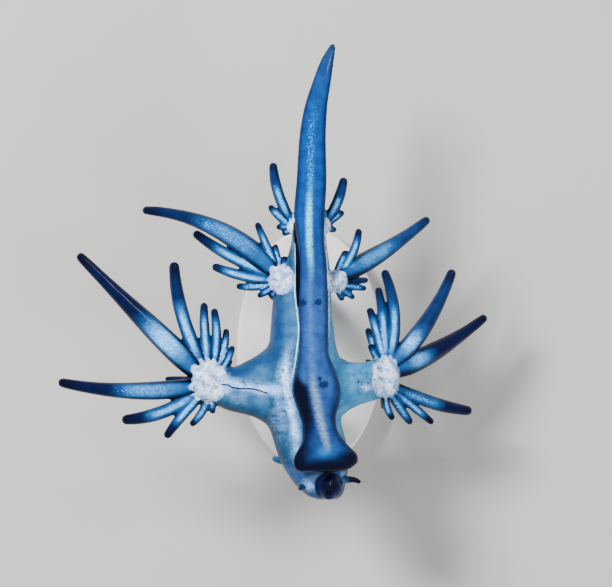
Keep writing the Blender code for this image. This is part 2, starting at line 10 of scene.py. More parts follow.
import bpy
import numpy as np
from mathutils import Matrix, Vector
from mathutils.bvhtree import BVHTree


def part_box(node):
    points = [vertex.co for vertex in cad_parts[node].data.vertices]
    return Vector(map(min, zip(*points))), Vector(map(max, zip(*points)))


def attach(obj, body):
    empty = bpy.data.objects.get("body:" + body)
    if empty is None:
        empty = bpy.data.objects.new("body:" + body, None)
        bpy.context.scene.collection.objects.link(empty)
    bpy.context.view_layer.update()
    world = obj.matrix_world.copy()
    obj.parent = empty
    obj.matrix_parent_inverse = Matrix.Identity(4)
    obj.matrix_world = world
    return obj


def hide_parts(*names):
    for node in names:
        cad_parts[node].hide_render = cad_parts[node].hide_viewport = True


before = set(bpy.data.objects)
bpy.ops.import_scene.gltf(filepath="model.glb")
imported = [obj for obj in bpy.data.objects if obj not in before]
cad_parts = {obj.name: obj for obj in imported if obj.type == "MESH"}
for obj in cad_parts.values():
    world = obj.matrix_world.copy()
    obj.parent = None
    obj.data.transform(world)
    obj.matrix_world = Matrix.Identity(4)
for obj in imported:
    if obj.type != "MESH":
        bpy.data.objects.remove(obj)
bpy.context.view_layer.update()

MM = 0.001
AXIS_HEIGHT = 10.6  # the body's long axis above the floor
VOXEL = 0.085  # the skin's grain when its pieces are fused
SKIN_TRIANGLES = 196000
RING_STEP = 0.16  # between the rings of a loft
LOOK_REACH = 1.2  # how far the painted skin looks for the piece it came from

# The camera looks straight down. A pixel of the photo is PIXEL wide at the body's axis, and the middle of
# the photo is at VIEW_CENTRE.
PIXEL = 0.07
PHOTO_WIDTH = 612
VIEW_CENTRE = (-0.28, 3.955)
CAMERA_DISTANCE = 600
SENSOR = 36

FLOOR_HALF = 2000
SKY = (0.88, 0.94, 1.0)
SKY_STRENGTH = 0.42
# Lamps: their name, place, width and watts, and whether the wet skin mirrors them. They shine at LAMP_TARGET.
LAMPS = (
    ("key", (-110, 90, 150), 60, 1.05, False),
    ("fill", (140, -90, 120), 90, 0.42, False),
    ("glint", (60, 110, 180), 26, 0.06, True),
)
LAMP_TARGET = (0, 2, 10)

# Trunk: along Y, its left and right edge, its underside and its topside under the foot.
TRUNK = (
    (-10.47, 0.55, 1.90, -0.75, 0.10),
    (-10.30, 0.00, 2.15, -1.10, 0.40),
    (-9.90, -0.55, 2.38, -1.40, 0.65),
    (-9.10, -1.30, 2.55, -1.65, 0.90),
    (-7.70, -2.10, 2.75, -1.80, 1.20),
    (-6.30, -2.60, 2.50, -1.90, 1.45),
    (-5.00, -3.05, 2.20, -2.05, 1.65),
    (-3.00, -3.40, 2.30, -2.20, 1.85),
    (-1.00, -3.20, 2.15, -2.15, 1.80),
    (0.70, -2.85, 1.75, -2.00, 1.70),
    (3.50, -2.60, 1.50, -1.80, 1.45),
    (5.00, -2.20, 1.45, -1.65, 1.30),
    (6.30, -1.65, 1.33, -1.45, 1.20),
    (7.70, -1.30, 1.15, -1.30, 1.10),
    (9.60, -1.13, 1.06, -1.18, 1.02),
    (11.90, -0.92, 1.13, -1.10, 0.84),
    (14.70, -0.74, 1.08, -1.05, 0.58),
    (16.80, -0.41, 1.17, -1.00, 0.34),
    (18.90, 0.25, 1.46, -0.95, 0.06),
    (20.30, 0.80, 1.65, -0.90, -0.20),
    (21.10, 1.28, 1.74, -0.80, -0.40),
    (21.40, 1.50, 1.70, -0.70, -0.50),
)
BODY_SHEAR = -0.12  # the trunk's sections slope down to the right

# Foot: along Y, its left and right edge, and its thickness as a share of FOOT_RISE and FOOT_ROOT.
FOOT = (
    (-8.50, -0.55, 1.70, 0.40),
    (-8.42, -0.90, 2.45, 0.75),
    (-8.20, -1.08, 2.95, 1.00),
    (-7.75, -1.16, 3.36, 1.15),
    (-7.35, -1.05, 3.32, 1.20),
    (-6.90, -0.80, 2.92, 1.15),
    (-6.30, -0.46, 2.35, 1.05),
    (-5.40, -0.41, 1.85, 1.00),
    (-4.80, -0.54, 1.79, 1.00),
    (-3.60, -0.98, 2.08, 1.00),
    (-2.80, -1.19, 2.14, 1.00),
    (-1.60, -0.94, 1.82, 1.00),
    (0.00, -0.74, 1.26, 1.00),
    (3.50, -0.77, 1.26, 1.00),
    (6.30, -0.77, 1.12, 1.00),
    (7.70, -0.91, 1.00, 1.00),
    (9.60, -1.12, 1.05, 1.00),
    (11.90, -0.95, 1.17, 0.90),
    (14.70, -0.78, 1.12, 0.80),
    (16.80, -0.45, 1.21, 0.75),
    (18.90, 0.21, 1.50, 0.65),
    (20.30, 0.75, 1.69, 0.50),
    (21.10, 1.22, 1.79, 0.35),
    (21.45, 1.46, 1.76, 0.15),
)
FOOT_RISE = 0.48
FOOT_ROOT = 0.50
# Along Y: the foot's lean to the right in degrees, and its lift off the body.
FOOT_ROLL = ((-8.5, 17.0), (2.0, 17.0), (9.6, 8.0), (11.0, 6.0), (21.5, 0.0))
FOOT_LIFT = ((-8.5, 0.45), (-6.6, 0.20), (-4.5, 0.0), (11.0, 0.0))

# Arms, between the body and the middle of their hub: along X, their front and rear edge, their underside
# and their topside.
ARM_LEFT = (
    (-7.10, -3.45, -0.95, -0.35, 1.45),
    (-6.40, -3.95, -1.05, -0.60, 1.60),
    (-5.60, -4.27, -1.19, -0.75, 1.55),
    (-4.20, -4.62, -0.63, -1.05, 1.40),
    (-3.36, -5.05, -0.05, -1.35, 1.30),
    (-2.70, -5.40, 0.40, -1.50, 1.25),
    (-1.50, -5.30, 0.30, -1.55, 1.20),
)
ARM_RIGHT = (
    (0.80, -4.60, -0.50, -1.65, 0.90),
    (2.00, -4.70, -0.50, -1.85, 0.75),
    (2.80, -4.20, -0.85, -2.10, 0.45),
    (3.50, -3.85, -0.88, -2.35, 0.10),
    (4.20, -3.64, -0.77, -2.65, -0.30),
    (4.80, -3.45, -0.70, -3.00, -0.75),
    (5.30, -3.15, -0.80, -3.20, -1.20),
)

# A ceras: the bearings of its root and its tip in degrees from +X, its reach from the hub's middle, its
# greatest width, its bow to the left, the rise of its tip above the fan's plane, how far along its silver
# streak reaches, how dark its outer part is and how bright the streak. The streak along the crest is silver
# skin with a painted highlight.
Ceras = namedtuple("Ceras", "root bearing reach width bow rise silver dark shine", defaults=(0.84, 0.5, 1.0))
# A fan: its hub's middle and radii, and its fall per length away from the body.
Fan = namedtuple("Fan", "hub radii fall cerata")
FANS = (
    Fan((-7.07, -2.17, 0.55), (1.20, 1.47, 1.10), 0.04, (
        Ceras(150, 135.9, 12.75, 1.68, 0.02, 0.60, silver=0.44, dark=1.0),
        Ceras(108, 106.3, 8.70, 1.02, 0.50, 0.20, silver=0.62, dark=0.8),
        Ceras(90, 93.6, 5.50, 0.74, 0.10, -0.30),
        Ceras(70, 86.1, 5.10, 0.70, -0.24, 0.30),
        Ceras(52, 71.9, 3.87, 0.62, -0.22, -0.25),
        Ceras(36, 56.0, 3.00, 0.54, -0.18, 0.25),
        Ceras(26, 43.0, 2.20, 0.50, 0.00, -0.25),
        Ceras(176, 177.5, 3.10, 0.52, 0.00, -1.10, silver=0.0, dark=1.0),
        Ceras(204, 180.3, 10.55, 1.36, 0.49, 0.00, silver=0.56, dark=1.0, shine=0.4),
        Ceras(222, 204.0, 6.70, 0.98, 0.52, -0.55, silver=0.70, dark=1.0, shine=0.8),
        Ceras(247, 232.6, 5.00, 0.76, -0.13, -0.15, silver=0.72, dark=1.0),
        Ceras(268, 247.2, 3.38, 0.62, 0.26, -0.60, dark=0.9),
        Ceras(282, 277.0, 2.30, 0.54, 0.00, -0.20),
    )),
    Fan((5.32, -1.96, -2.20), (0.95, 1.40, 1.10), 0.50, (
        Ceras(134, 139.0, 1.85, 0.50, 0.00, 0.40),
        Ceras(121, 116.6, 2.60, 0.52, 0.00, 0.80),
        Ceras(110, 110.4, 3.72, 0.64, 0.05, 0.35),
        Ceras(100, 103.5, 5.05, 0.70, -0.10, 0.80),
        Ceras(90, 94.9, 6.38, 0.74, -0.14, 0.20, silver=0.72),
        Ceras(80, 91.2, 7.58, 0.86, -0.65, 0.70, silver=0.66),
        Ceras(68, 58.0, 8.97, 1.38, -0.50, 0.80, silver=0.40, dark=0.6),
        Ceras(34, 31.1, 8.32, 1.54, -0.30, -0.20, silver=0.34, dark=1.0),
        Ceras(-40, -21.4, 6.53, 0.94, -0.30, 0.20, silver=0.60, dark=1.0),
        Ceras(-58, -43.8, 4.65, 0.62, 0.00, 0.55, silver=0.80, dark=1.0),
        Ceras(-76, -60.8, 3.72, 0.68, -0.05, -0.20),
        Ceras(-88, -79.5, 3.00, 0.58, -0.24, 0.45, dark=0.9),
        Ceras(-101, -94.0, 2.20, 0.54, 0.00, -0.10, dark=0.9),
    )),
    Fan((-2.03, 4.97, 0.25), (0.85, 1.00, 0.85), 0.06, (
        Ceras(137, 153.6, 10.85, 1.54, -1.06, 0.30, silver=0.60, dark=0.80, shine=0.3),
        Ceras(156, 151.7, 6.95, 0.86, 0.27, -0.45, silver=0.72, dark=0.9),
        Ceras(190, 169.1, 4.90, 0.76, 0.20, 0.10),
        Ceras(208, 188.7, 3.18, 0.60, 0.17, -0.40),
        Ceras(228, 216.7, 2.05, 0.52, 0.03, 0.15),
        Ceras(250, 240.6, 1.55, 0.50, 0.00, -0.15),
        Ceras(111, 113.2, 4.30, 0.62, 0.03, 0.50),
        Ceras(94, 99.7, 2.48, 0.54, 0.03, -0.10),
        Ceras(72, 81.0, 1.62, 0.50, 0.00, 0.25),
    )),
    Fan((1.82, 4.83, -0.55), (0.78, 0.80, 0.80), 0.42, (
        Ceras(62, 34.0, 7.90, 1.46, -0.24, -0.20, silver=0.58, dark=0.30, shine=0.4),
        Ceras(78, 66.3, 4.02, 0.66, -0.33, 0.85),
        Ceras(98, 72.0, 2.25, 0.54, 0.00, 0.10),
        Ceras(-12, 2.0, 2.26, 0.54, 0.00, -0.70, silver=0.0, dark=0.3),
        Ceras(-38, -14.0, 2.20, 0.52, 0.00, 0.30),
        Ceras(-60, -43.4, 1.76, 0.50, 0.00, 0.05),
        Ceras(-80, -71.6, 1.45, 0.50, 0.00, -0.15),
    )),
    Fan((-1.05, 8.61, -0.10), (0.50, 0.60, 0.55), 0.12, (
        Ceras(122, 108.8, 4.77, 0.80, 0.32, 0.35, silver=0.66),
        Ceras(155, 139.7, 2.36, 0.60, 0.13, -0.10),
        Ceras(180, 180.0, 1.30, 0.50, 0.00, 0.20),
        Ceras(212, 210.0, 1.00, 0.50, 0.00, -0.10),
    )),
    Fan((0.95, 8.65, -0.30), (0.50, 0.55, 0.55), 0.35, (
        Ceras(62, 67.3, 3.72, 0.80, -0.22, 0.35, silver=0.62),
        Ceras(35, 36.4, 1.75, 0.54, 0.00, 0.10),
        Ceras(-15, -17.0, 0.90, 0.50, 0.00, -0.05),
    )),
)
# Along a ceras, its share of its greatest width. One up to FINGER_WIDTH wide is a blunt finger, one from
# LANCE_WIDTH on narrows like a lance, and what lies between is a blend of both.
FINGER = ((0.0, 0.66), (0.15, 0.86), (0.35, 1.0), (0.6, 0.99), (0.75, 0.92), (0.88, 0.82), (1.0, 0.70))
LANCE = (
    (0.0, 0.62), (0.08, 0.88), (0.18, 1.0), (0.35, 0.94), (0.5, 0.81),
    (0.65, 0.65), (0.8, 0.52), (0.92, 0.45), (1.0, 0.36),
)
FINGER_WIDTH = 1.0
LANCE_WIDTH = 1.5
CERAS_SINK = 0.55  # how far out in its hub a ceras starts, as a share of the hub's radius

# Mouth: a ball whose lips face up and ahead, MOUTH_LEAN degrees from straight up.
MOUTH_CENTRE = (1.33, -9.52, 0.16)
MOUTH_RADII = (0.98, 0.98, 0.95)
MOUTH_LEAN = 34
LIP_SPREAD = (0.30, 0.46)  # half width and half length of the ring of the lips' middle line
LIP_RISE = 0.08
SLIT_DEPTH = 0.20

# Stand: its rods, the collars at their feet, its rounded edges, how far the washers lie within the collars,
# and the bead of wax on each rod, as heights above the rod's top and radii.
ROD_RADIUS = 0.55
COLLAR_HEIGHT = 0.60
COLLAR_EDGE = 0.20
BASE_EDGE = 0.30
FINE_EDGE = 0.08
WASHER_INSET = 0.12
WAX_BEAD = ((-0.34, 0.56), (-0.26, 0.64), (-0.05, 0.68), (0.18, 0.74), (0.42, 0.88), (0.60, 0.90))
STAND_SIDES = 96
SHARP_ANGLE = 40  # edges of the stand that bend by more stay sharp

# Feelers: root, bend point and tip, with their width at root and tip, and how dark the tip is.
Feeler = namedtuple("Feeler", "root bend tip thick thin dark_tip")
FEELERS = (
    Feeler((1.60, -9.35, -0.05), (2.90, -8.85, 0.1), (3.43, -9.22, 0.0), 0.66, 0.34, 1.0),
    Feeler((0.00, -9.20, -0.30), (-0.50, -9.60, 0.10), (-0.66, -9.66, 0.95), 0.64, 0.40, 0.8),
    Feeler((-1.20, -7.85, -0.70), (-2.10, -7.80, -0.70), (-2.46, -7.62, -0.65), 0.62, 0.46, 0.0),
    Feeler((1.60, -7.85, -1.00), (2.70, -7.85, -1.25), (3.10, -7.60, -1.50), 0.62, 0.46, 0.0),
)

# The ridge of skin along the foot's left side: along Y, its place across and its radius.
RIM = (
    (-2.40, -1.40, 0.05),
    (-1.40, -1.14, 0.07),
    (0.00, -0.93, 0.09),
    (1.40, -0.80, 0.10),
    (2.80, -0.93, 0.09),
    (4.20, -1.06, 0.08),
    (5.60, -1.00, 0.08),
    (7.00, -1.03, 0.07),
    (9.40, -1.20, 0.05),
)
# The gap between that ridge and the foot: along Y, its place across and its half width.
SLIT = (
    (2.60, -0.82, 0.03),
    (3.85, -0.86, 0.07),
    (4.90, -0.84, 0.13),
    (6.00, -0.84, 0.14),
    (7.00, -0.90, 0.11),
    (8.40, -1.02, 0.09),
    (9.45, -1.10, 0.03),
)
SLIT_SUNK = 0.22  # how deep that gap is
WEB_REACH = 1.3  # how far from the trunk's left edge its crease with the arm is smoothed
WEB_ROUNDS = 70
# How far a hub's white reaches out along the crests of its cerata and draws back between them, as a share of
# the hub's radius.
HUB_RAY = 0.16
HUB_NOTCH = 0.16

# The pale stripe along the sole: along Y, its place across, its half width, how silver it is and how full of
# bright specks.
STRIPE = (
    (-7.30, 1.30, 0.30, 0.00, 0.00),
    (-6.60, 1.16, 0.36, 0.62, 0.60),
    (-4.90, 0.72, 0.40, 0.72, 0.62),
    (-3.85, 0.52, 0.40, 0.72, 0.60),
    (-2.10, 0.20, 0.36, 0.66, 0.30),
    (-0.70, 0.14, 0.34, 0.50, 0.00),
    (1.40, 0.07, 0.32, 0.50, 0.00),
    (3.50, 0.00, 0.32, 0.48, 0.10),
    (5.60, 0.07, 0.30, 0.55, 0.35),
    (7.40, -0.04, 0.28, 0.80, 0.85),
    (9.10, -0.07, 0.28, 0.90, 1.00),
    (10.60, -0.05, 0.28, 0.62, 0.95),
    (12.00, 0.03, 0.34, 0.34, 0.85),
    (14.70, 0.07, 0.40, 0.26, 0.78),
    (16.10, 0.18, 0.38, 0.20, 0.70),
    (17.85, 0.40, 0.30, 0.10, 0.40),
    (19.00, 0.60, 0.30, 0.05, 0.00),
)
# The foot's front edge: across, its place along Y.
FRONT = (
    (-1.20, -8.45), (-0.91, -8.47), (0.00, -8.40), (0.91, -8.28),
    (2.45, -8.18), (3.15, -7.90), (3.60, -7.55),
)
# The right edge of the black patch on the foot's left side: along Y, its place across.
INK_EDGE = (
    (-8.60, -0.60), (-7.20, -0.35), (-5.60, -0.10), (-4.60, 0.12), (-3.40, 0.02),
    (-2.60, -0.16), (-2.35, -0.40), (-2.05, -0.74), (-1.50, -1.10),
)

# Soft oval patches of the plan: their middle, their size across and along, and how strong they are.
INK_PATCHES = ((-1.02, 8.20, 0.20, 0.75, 1.2), (1.26, -8.62, 0.36, 0.30, 1.2))
SMUDGES = (
    (-0.54, 3.29, 0.34, 0.26, 1.2),
    (0.58, 3.36, 0.28, 0.28, 1.2),
    (0.93, -2.40, 0.40, 0.32, 1.1),
    (0.66, -1.98, 0.20, 0.18, 1.0),
    (0.50, -2.50, 0.16, 0.16, 0.6),
)
SOFT_BLACK = ((-0.85, -7.85, 0.60, 0.65, 1.6), (3.00, -7.60, 0.75, 0.50, 1.6))
NAVY_PATCHES = (
    (0.00, -5.30, 0.55, 1.60, 0.9),
    (-0.10, -7.00, 0.80, 0.70, 0.9),
    (2.20, -7.30, 0.60, 0.50, 0.9),
    (1.75, -4.60, 0.35, 1.10, 0.9),
)
FRONT_GLOW = (1.15, -7.10, 0.80, 0.42, 1.0)
FLANK_DEEP = (
    (-5.30, -1.35, 1.70, 0.55, 0.9),
    (-2.60, 1.40, 1.00, 2.10, 0.9),
    (-3.50, -0.55, 0.90, 0.60, 0.9),
    (3.00, -1.10, 1.20, 0.40, 0.9),
)
# Pearly patches: partly pearly skin, partly painted highlight.
PEARL_PATCHES = (
    (-6.15, -1.70, 0.32, 0.42, 1.0),
    (-5.90, -2.80, 0.36, 0.34, 1.0),
    (-5.00, -3.30, 0.90, 0.50, 0.35),
    (-1.95, -4.30, 0.75, 1.80, 0.42),
    (3.95, -2.65, 0.60, 0.34, 1.0),
    (4.60, -1.20, 0.34, 0.40, 1.0),
    (-1.50, 4.85, 0.55, 0.60, 1.0),
    (1.45, 4.85, 0.30, 0.50, 1.0),
    (-0.05, -9.42, 0.50, 0.46, 0.72),
    (0.30, -8.86, 0.70, 0.24, 0.34),
    (2.42, -8.86, 0.30, 0.40, 0.62),
)
FRECKLED = (
    (3.64, -2.20, 0.90, 0.80, 1.0),
    (-1.75, -1.60, 0.50, 1.00, 1.0),
    (-1.50, -3.90, 0.60, 1.40, 1.0),
    (-5.00, -2.30, 1.40, 0.45, 0.8),
    (0.20, -9.10, 0.90, 0.55, 1.0),
)
# The pearly ridge down the flank, along Y, and the one along the left arm, along X, partly pearly skin and
# partly painted highlight: its place, its half width and how white it is.
FLANK_RIDGE = (
    (-8.20, -1.15, 0.22, 0.00),
    (-6.90, -0.96, 0.34, 0.70),
    (-5.60, -1.04, 0.40, 0.95),
    (-4.20, -1.34, 0.42, 0.98),
    (-2.90, -1.62, 0.42, 1.06),
    (-1.90, -1.76, 0.50, 1.10),
    (-1.10, -1.74, 0.44, 0.85),
    (-0.20, -1.55, 0.34, 0.45),
    (1.20, -1.25, 0.26, 0.00),
)
ARM_RIDGE = (
    (-6.60, -2.20, 0.60, 1.10),
    (-6.00, -2.25, 0.62, 1.05),
    (-5.20, -2.42, 0.42, 0.95),
    (-4.30, -2.62, 0.38, 0.98),
    (-3.20, -2.74, 0.46, 0.90),
    (-2.20, -2.80, 0.60, 0.85),
    (-1.40, -2.80, 0.60, 0.00),
)
# The crack along the top of the left arm and its branch: along X, their place along Y.
CRACK = (
    (-6.30, -2.38), (-5.80, -2.42), (-5.35, -2.62), (-4.80, -2.68),
    (-4.10, -2.70), (-3.30, -2.90), (-2.60, -3.15),
)
BRANCH = ((-5.05, -2.66), (-4.90, -2.90), (-4.78, -3.20))
CRACK_HALF = 0.065

Piece = namedtuple("Piece", "kind points faces")


def along_curve(stations, column=1):
    """A smooth curve through a column of the stations that never overshoots them, for arrays of positions."""
    xs = np.array([row[0] for row in stations])
    ys = np.array([row[column] for row in stations])
    slopes = np.diff(ys) / np.diff(xs)
    tangents = np.concatenate([[slopes[0]], np.zeros(len(xs) - 2), [slopes[-1]]])
    before, after = slopes[:-1], slopes[1:]
    same = before * after > 0
    tangents[1:-1][same] = (2 * before * after / (before + after + 1e-30))[same]

    def value(at):
        at = np.clip(at, xs[0], xs[-1])
        k = np.clip(np.searchsorted(xs, at) - 1, 0, len(xs) - 2)
        width = xs[k + 1] - xs[k]
        t = (at - xs[k]) / width
        return (
            (2 * t**3 - 3 * t**2 + 1) * ys[k]
            + (t**3 - 2 * t**2 + t) * width * tangents[k]
            + (3 * t**2 - 2 * t**3) * ys[k + 1]
            + (t**3 - t**2) * width * tangents[k + 1]
        )

    return value


def curves(stations):
    """A smooth curve for each column of the stations after the first."""
    return [along_curve(stations, column) for column in range(1, len(stations[0]))]


body_left, body_right, body_under, body_over = curves(TRUNK)
foot_left, foot_right, foot_thick = curves(FOOT)
foot_roll, foot_lift = along_curve(FOOT_ROLL), along_curve(FOOT_LIFT)
rim_across, rim_radius = curves(RIM)
slit_across, slit_half = curves(SLIT)
finger, lance = along_curve(FINGER), along_curve(LANCE)
stripe_across, stripe_half, stripe_silver, stripe_specks = curves(STRIPE)
front_edge, ink_edge = along_curve(FRONT), along_curve(INK_EDGE)
flank_ridge, arm_ridge = curves(FLANK_RIDGE), curves(ARM_RIDGE)

# Paints, as linear red, green and blue.
BLACK = (0.0004, 0.0010, 0.0120)
NAVY = (0.0015, 0.0070, 0.0450)
DEEP_BLUE = (0.008, 0.044, 0.150)
BRIGHT_BLUE = (0.008, 0.110, 0.340)
MOUTH_BLUE = (0.0020, 0.0100, 0.0550)
SIDE_SHADE_TEAL = (0.004, 0.017, 0.028)
STEEL = (0.014, 0.060, 0.132)
PALE_STEEL = (0.038, 0.150, 0.300)
PALE_RIGHT = (0.045, 0.265, 0.490)
HEAD_BLUE = (0.020, 0.066, 0.165)
FEELER_BLUE = (0.0228, 0.090, 0.180)
SHEEN = (0.085, 0.190, 0.380)
PEARL = (0.170, 0.390, 0.860)
UNDERSIDE = (0.130, 0.185, 0.235)
CERAS_SIDE_SHADE = (0.003, 0.012, 0.040)
CERAS_BLUE = (0.009, 0.085, 0.260)
CERAS_OUTER = (0.006, 0.042, 0.150)
CERAS_INK = (0.0008, 0.0030, 0.0300)
CERAS_BELOW = (0.040, 0.070, 0.105)
SILVER = (0.110, 0.430, 0.930)
ICE = (0.100, 0.660, 0.960)
MIST = (0.045, 0.180, 0.430)
CYAN = (0.004, 0.350, 0.920)
HUB_WHITE = (0.640, 0.800, 0.980)
HUB_SHADE = (0.170, 0.300, 0.620)
WHITE = (0.640, 0.790, 0.980)
ASH = (0.160, 0.290, 0.480)
SPECK = (0.010, 0.030, 0.080)
# The sole's blue: along Y, red, green and blue.
SOLE = (
    (-8.5, 0.006, 0.034, 0.130),
    (-5.0, 0.014, 0.056, 0.205),
    (-1.5, 0.020, 0.072, 0.240),
    (2.0, 0.020, 0.074, 0.245),
    (6.0, 0.009, 0.054, 0.215),
    (10.0, 0.002, 0.050, 0.225),
    (14.0, 0.000, 0.048, 0.220),
    (19.0, 0.005, 0.048, 0.185),
    (21.5, 0.010, 0.038, 0.100),
)


def loft(kind, rings):
    """A closed solid through rings of equal count, with a point in the middle of each end."""
    rings = [np.asarray(ring) for ring in rings]
    sides, count = len(rings[0]), len(rings)
    points = np.concatenate([*rings, [rings[0].mean(0)], [rings[-1].mean(0)]])
    first, last = sides * count, sides * count + 1
    faces = []
    for i in range(sides):
        j = (i + 1) % sides
        faces.append((first, j, i))
        faces.append((last, (count - 1) * sides + i, (count - 1) * sides + j))
        for low in range(0, first - sides, sides):
            faces.append((low + i, low + j, low + sides + j, low + sides + i))
    return Piece(kind, points, faces)


def spaced(start, end, step=RING_STEP):
    return np.linspace(start, end, max(2, round(abs(end - start) / step) + 1))


def turns(sides):
    return math.tau * np.arange(sides) / sides


def oval_loft(kind, stations, axis, sides, shear=0.0):
    """A loft of oval sections along X or Y, from a table of edges, undersides and topsides."""
    low, high, under, over = curves(stations)
    angle = turns(sides)
    rings = []
    for at in spaced(stations[0][0], stations[-1][0]):
        half, tall = (high(at) - low(at)) / 2, (over(at) - under(at)) / 2
        across = half * np.cos(angle)
        height = (over(at) + under(at)) / 2 + tall * np.sin(angle) + shear * across
        across = across + (high(at) + low(at)) / 2
        columns = (across, np.full(sides, at)) if axis == "Y" else (np.full(sides, at), across)
        rings.append(np.column_stack([*columns, height]))
    if axis == "X":
        rings.reverse()
    return loft(kind, rings)


def body_top(x, y):
    """Height of the body's surface above a point of its plan."""
    low, high, under, over = body_left(y), body_right(y), body_under(y), body_over(y)
    u = np.clip((x - (low + high) / 2) / ((high - low) / 2), -1, 1)
    return (over + under) / 2 + np.sqrt(1 - u * u) * (over - under) / 2 + BODY_SHEAR * (x - (low + high) / 2)


def foot_piece():
    """The sole: a rounded slab that leans with the body's roll and sinks into its back."""
    angle = turns(56)
    c, s = np.cos(angle), np.sin(angle)
    u_share = np.sign(c) * np.abs(c) ** 0.8
    w_share = np.sign(s) * np.abs(s) ** 0.85 * np.where(s > 0, FOOT_RISE, FOOT_ROOT)
    rings = []
    for y in np.concatenate([spaced(FOOT[0][0], -8.0, 0.04), spaced(-8.0, FOOT[-1][0])[1:]]):
        middle = (foot_left(y) + foot_right(y)) / 2
        roll = math.radians(foot_roll(y))
        u = (foot_right(y) - foot_left(y)) / 2 / math.cos(roll) * u_share
        w = foot_thick(y) * w_share
        level = body_top(middle, y) + foot_lift(y)
        x = middle + u * math.cos(roll) + w * math.sin(roll)
        z = level - u * math.sin(roll) + w * math.cos(roll)
        rings.append(np.column_stack([x, np.full(len(x), y), z]))
    return loft("foot", rings)


def tube(kind, path, radii, sides):
    """A solid of round sections along a path, its ends closed by domes."""
    path, radii = np.asarray(path, float), np.asarray(radii, float)
    ahead = np.gradient(path, axis=0)
    ahead /= np.linalg.norm(ahead, axis=1)[:, None]
    side = np.cross((0, 0, 1), ahead)
    side /= np.linalg.norm(side, axis=1)[:, None]
    other = np.cross(ahead, side)
    angle = turns(sides)
    around = np.cos(angle)[:, None, None] * side + np.sin(angle)[:, None, None] * other
    rings = [path[k] + radii[k] * around[:, k] for k in range(len(path))]
    for lean in np.radians((18, 36, 54, 72)):
        out, shrink = math.sin(lean), math.cos(lean)
        rings.append(path[-1] + radii[-1] * (shrink * around[:, -1] + out * ahead[-1]))
        rings.insert(0, path[0] + radii[0] * (shrink * around[:, 0] - out * ahead[0]))
    return loft(kind, rings)


def ellipsoid(kind, centre, radii, turn=Matrix.Identity(3)):
    angle = turns(64)
    rings = []
    for lean in np.radians(np.linspace(-89, 89, 40)):
        out, up = math.cos(lean), np.full(len(angle), math.sin(lean))
        ring = np.column_stack([out * np.cos(angle), out * np.sin(angle), up])
        rings.append(np.asarray(centre) + (ring * radii) @ np.array(turn).T)
    return loft(kind, rings)


def bowed(root, bend, tip, t):
    """Points on the curve from root to tip that bends towards a third point."""
    t = np.asarray(t)[:, None]
    return (1 - t) ** 2 * np.array(root) + 2 * t * (1 - t) * np.array(bend) + t * t * np.array(tip)


def slenderness(ceras):
    """0 for a finger and 1 for a lance."""
    return min(max((ceras.width - FINGER_WIDTH) / (LANCE_WIDTH - FINGER_WIDTH), 0), 1)


def ceras_line(fan, ceras):
    """The middle line of a ceras and its radii."""
    hub = np.array(fan.hub)
    root_turn, tip_turn = math.radians(ceras.root), math.radians(ceras.bearing)
    sink = np.array((fan.radii[0] * math.cos(root_turn), fan.radii[1] * math.sin(root_turn), 0))
    root = hub + CERAS_SINK * sink
    tip = hub + ceras.reach * np.array((math.cos(tip_turn), math.sin(tip_turn), 0))
    chord = tip - root
    left = np.array((-chord[1], chord[0], 0)) / np.linalg.norm(chord)
    bend = (root + tip) / 2 + 2 * ceras.bow * left
    long = math.hypot(np.linalg.norm(chord), fan.fall * chord[0])
    slender = slenderness(ceras)
    tip_radius = ceras.width / 2 * (slender * LANCE[-1][1] + (1 - slender) * FINGER[-1][1])
    t = np.linspace(0, 1 - tip_radius / long, max(8, round(long / RING_STEP)))
    path = bowed(root, bend, tip, t)
    path[:, 2] = hub[2] + ceras.rise * t - fan.fall * np.abs(path[:, 0] - hub[0])
    return path, ceras.width / 2 * (slender * lance(t) + (1 - slender) * finger(t))


def hub_piece(fan):
    outward = -1 if fan.hub[0] < 0 else 1
    turn = Matrix.Rotation(math.atan(fan.fall) * outward, 3, "Y")
    return ellipsoid("hub", fan.hub, fan.radii, turn)


def rim_piece():
    """The ridge of skin that runs beside the foot, on the body's left."""
    y = spaced(RIM[0][0], RIM[-1][0], 0.1)
    x = rim_across(y)
    path = np.column_stack([x, y, body_top(x, y) + 0.6 * rim_radius(y)])
    return tube("rim", path, rim_radius(y), 14)


def flesh_pieces():
    pieces = [
        oval_loft("body", TRUNK, "Y", 96, BODY_SHEAR),
        oval_loft("arm", ARM_LEFT, "X", 72),
        oval_loft("arm", ARM_RIGHT, "X", 72),
        foot_piece(),
        rim_piece(),
        ellipsoid("mouth", MOUTH_CENTRE, MOUTH_RADII),
    ]
    for feeler in FEELERS:
        t = np.linspace(0, 1, 16)
        radii = (feeler.thick + (feeler.thin - feeler.thick) * t) / 2
        pieces.append(tube("feeler", bowed(feeler.root, feeler.bend, feeler.tip, t), radii, 24))
    for fan in FANS:
        pieces.append(hub_piece(fan))
        for ceras in fan.cerata:
            pieces.append(tube("ceras", *ceras_line(fan, ceras), 28))
    return pieces


def new_object(name, points, faces):
    mesh = bpy.data.meshes.new(name)
    mesh.from_pydata(points.tolist(), [], faces)
    obj = bpy.data.objects.new(name, mesh)
    bpy.context.collection.objects.link(obj)
    return obj


def joined(pieces):
    """The points and faces of several pieces as one list each."""
    points, faces, start = [], [], 0
    for piece in pieces:
        points.append(piece.points)
        faces += [tuple(start + i for i in face) for face in piece.faces]
        start += len(piece.points)
    return np.concatenate(points), faces


def apply_modifiers(obj):
    graph = bpy.context.evaluated_depsgraph_get()
    mesh = bpy.data.meshes.new_from_object(obj.evaluated_get(graph))
    obj.modifiers.clear()
    obj.data = mesh


def fused(name, pieces):
    """One closed skin round all the pieces, as a mesh object still in millimetres."""
    obj = new_object(name, *joined(pieces))
    remesh = obj.modifiers.new("Fuse", "REMESH")
    remesh.mode = "VOXEL"
    remesh.voxel_size = VOXEL
    remesh.use_smooth_shade = True
    apply_modifiers(obj)
    return obj


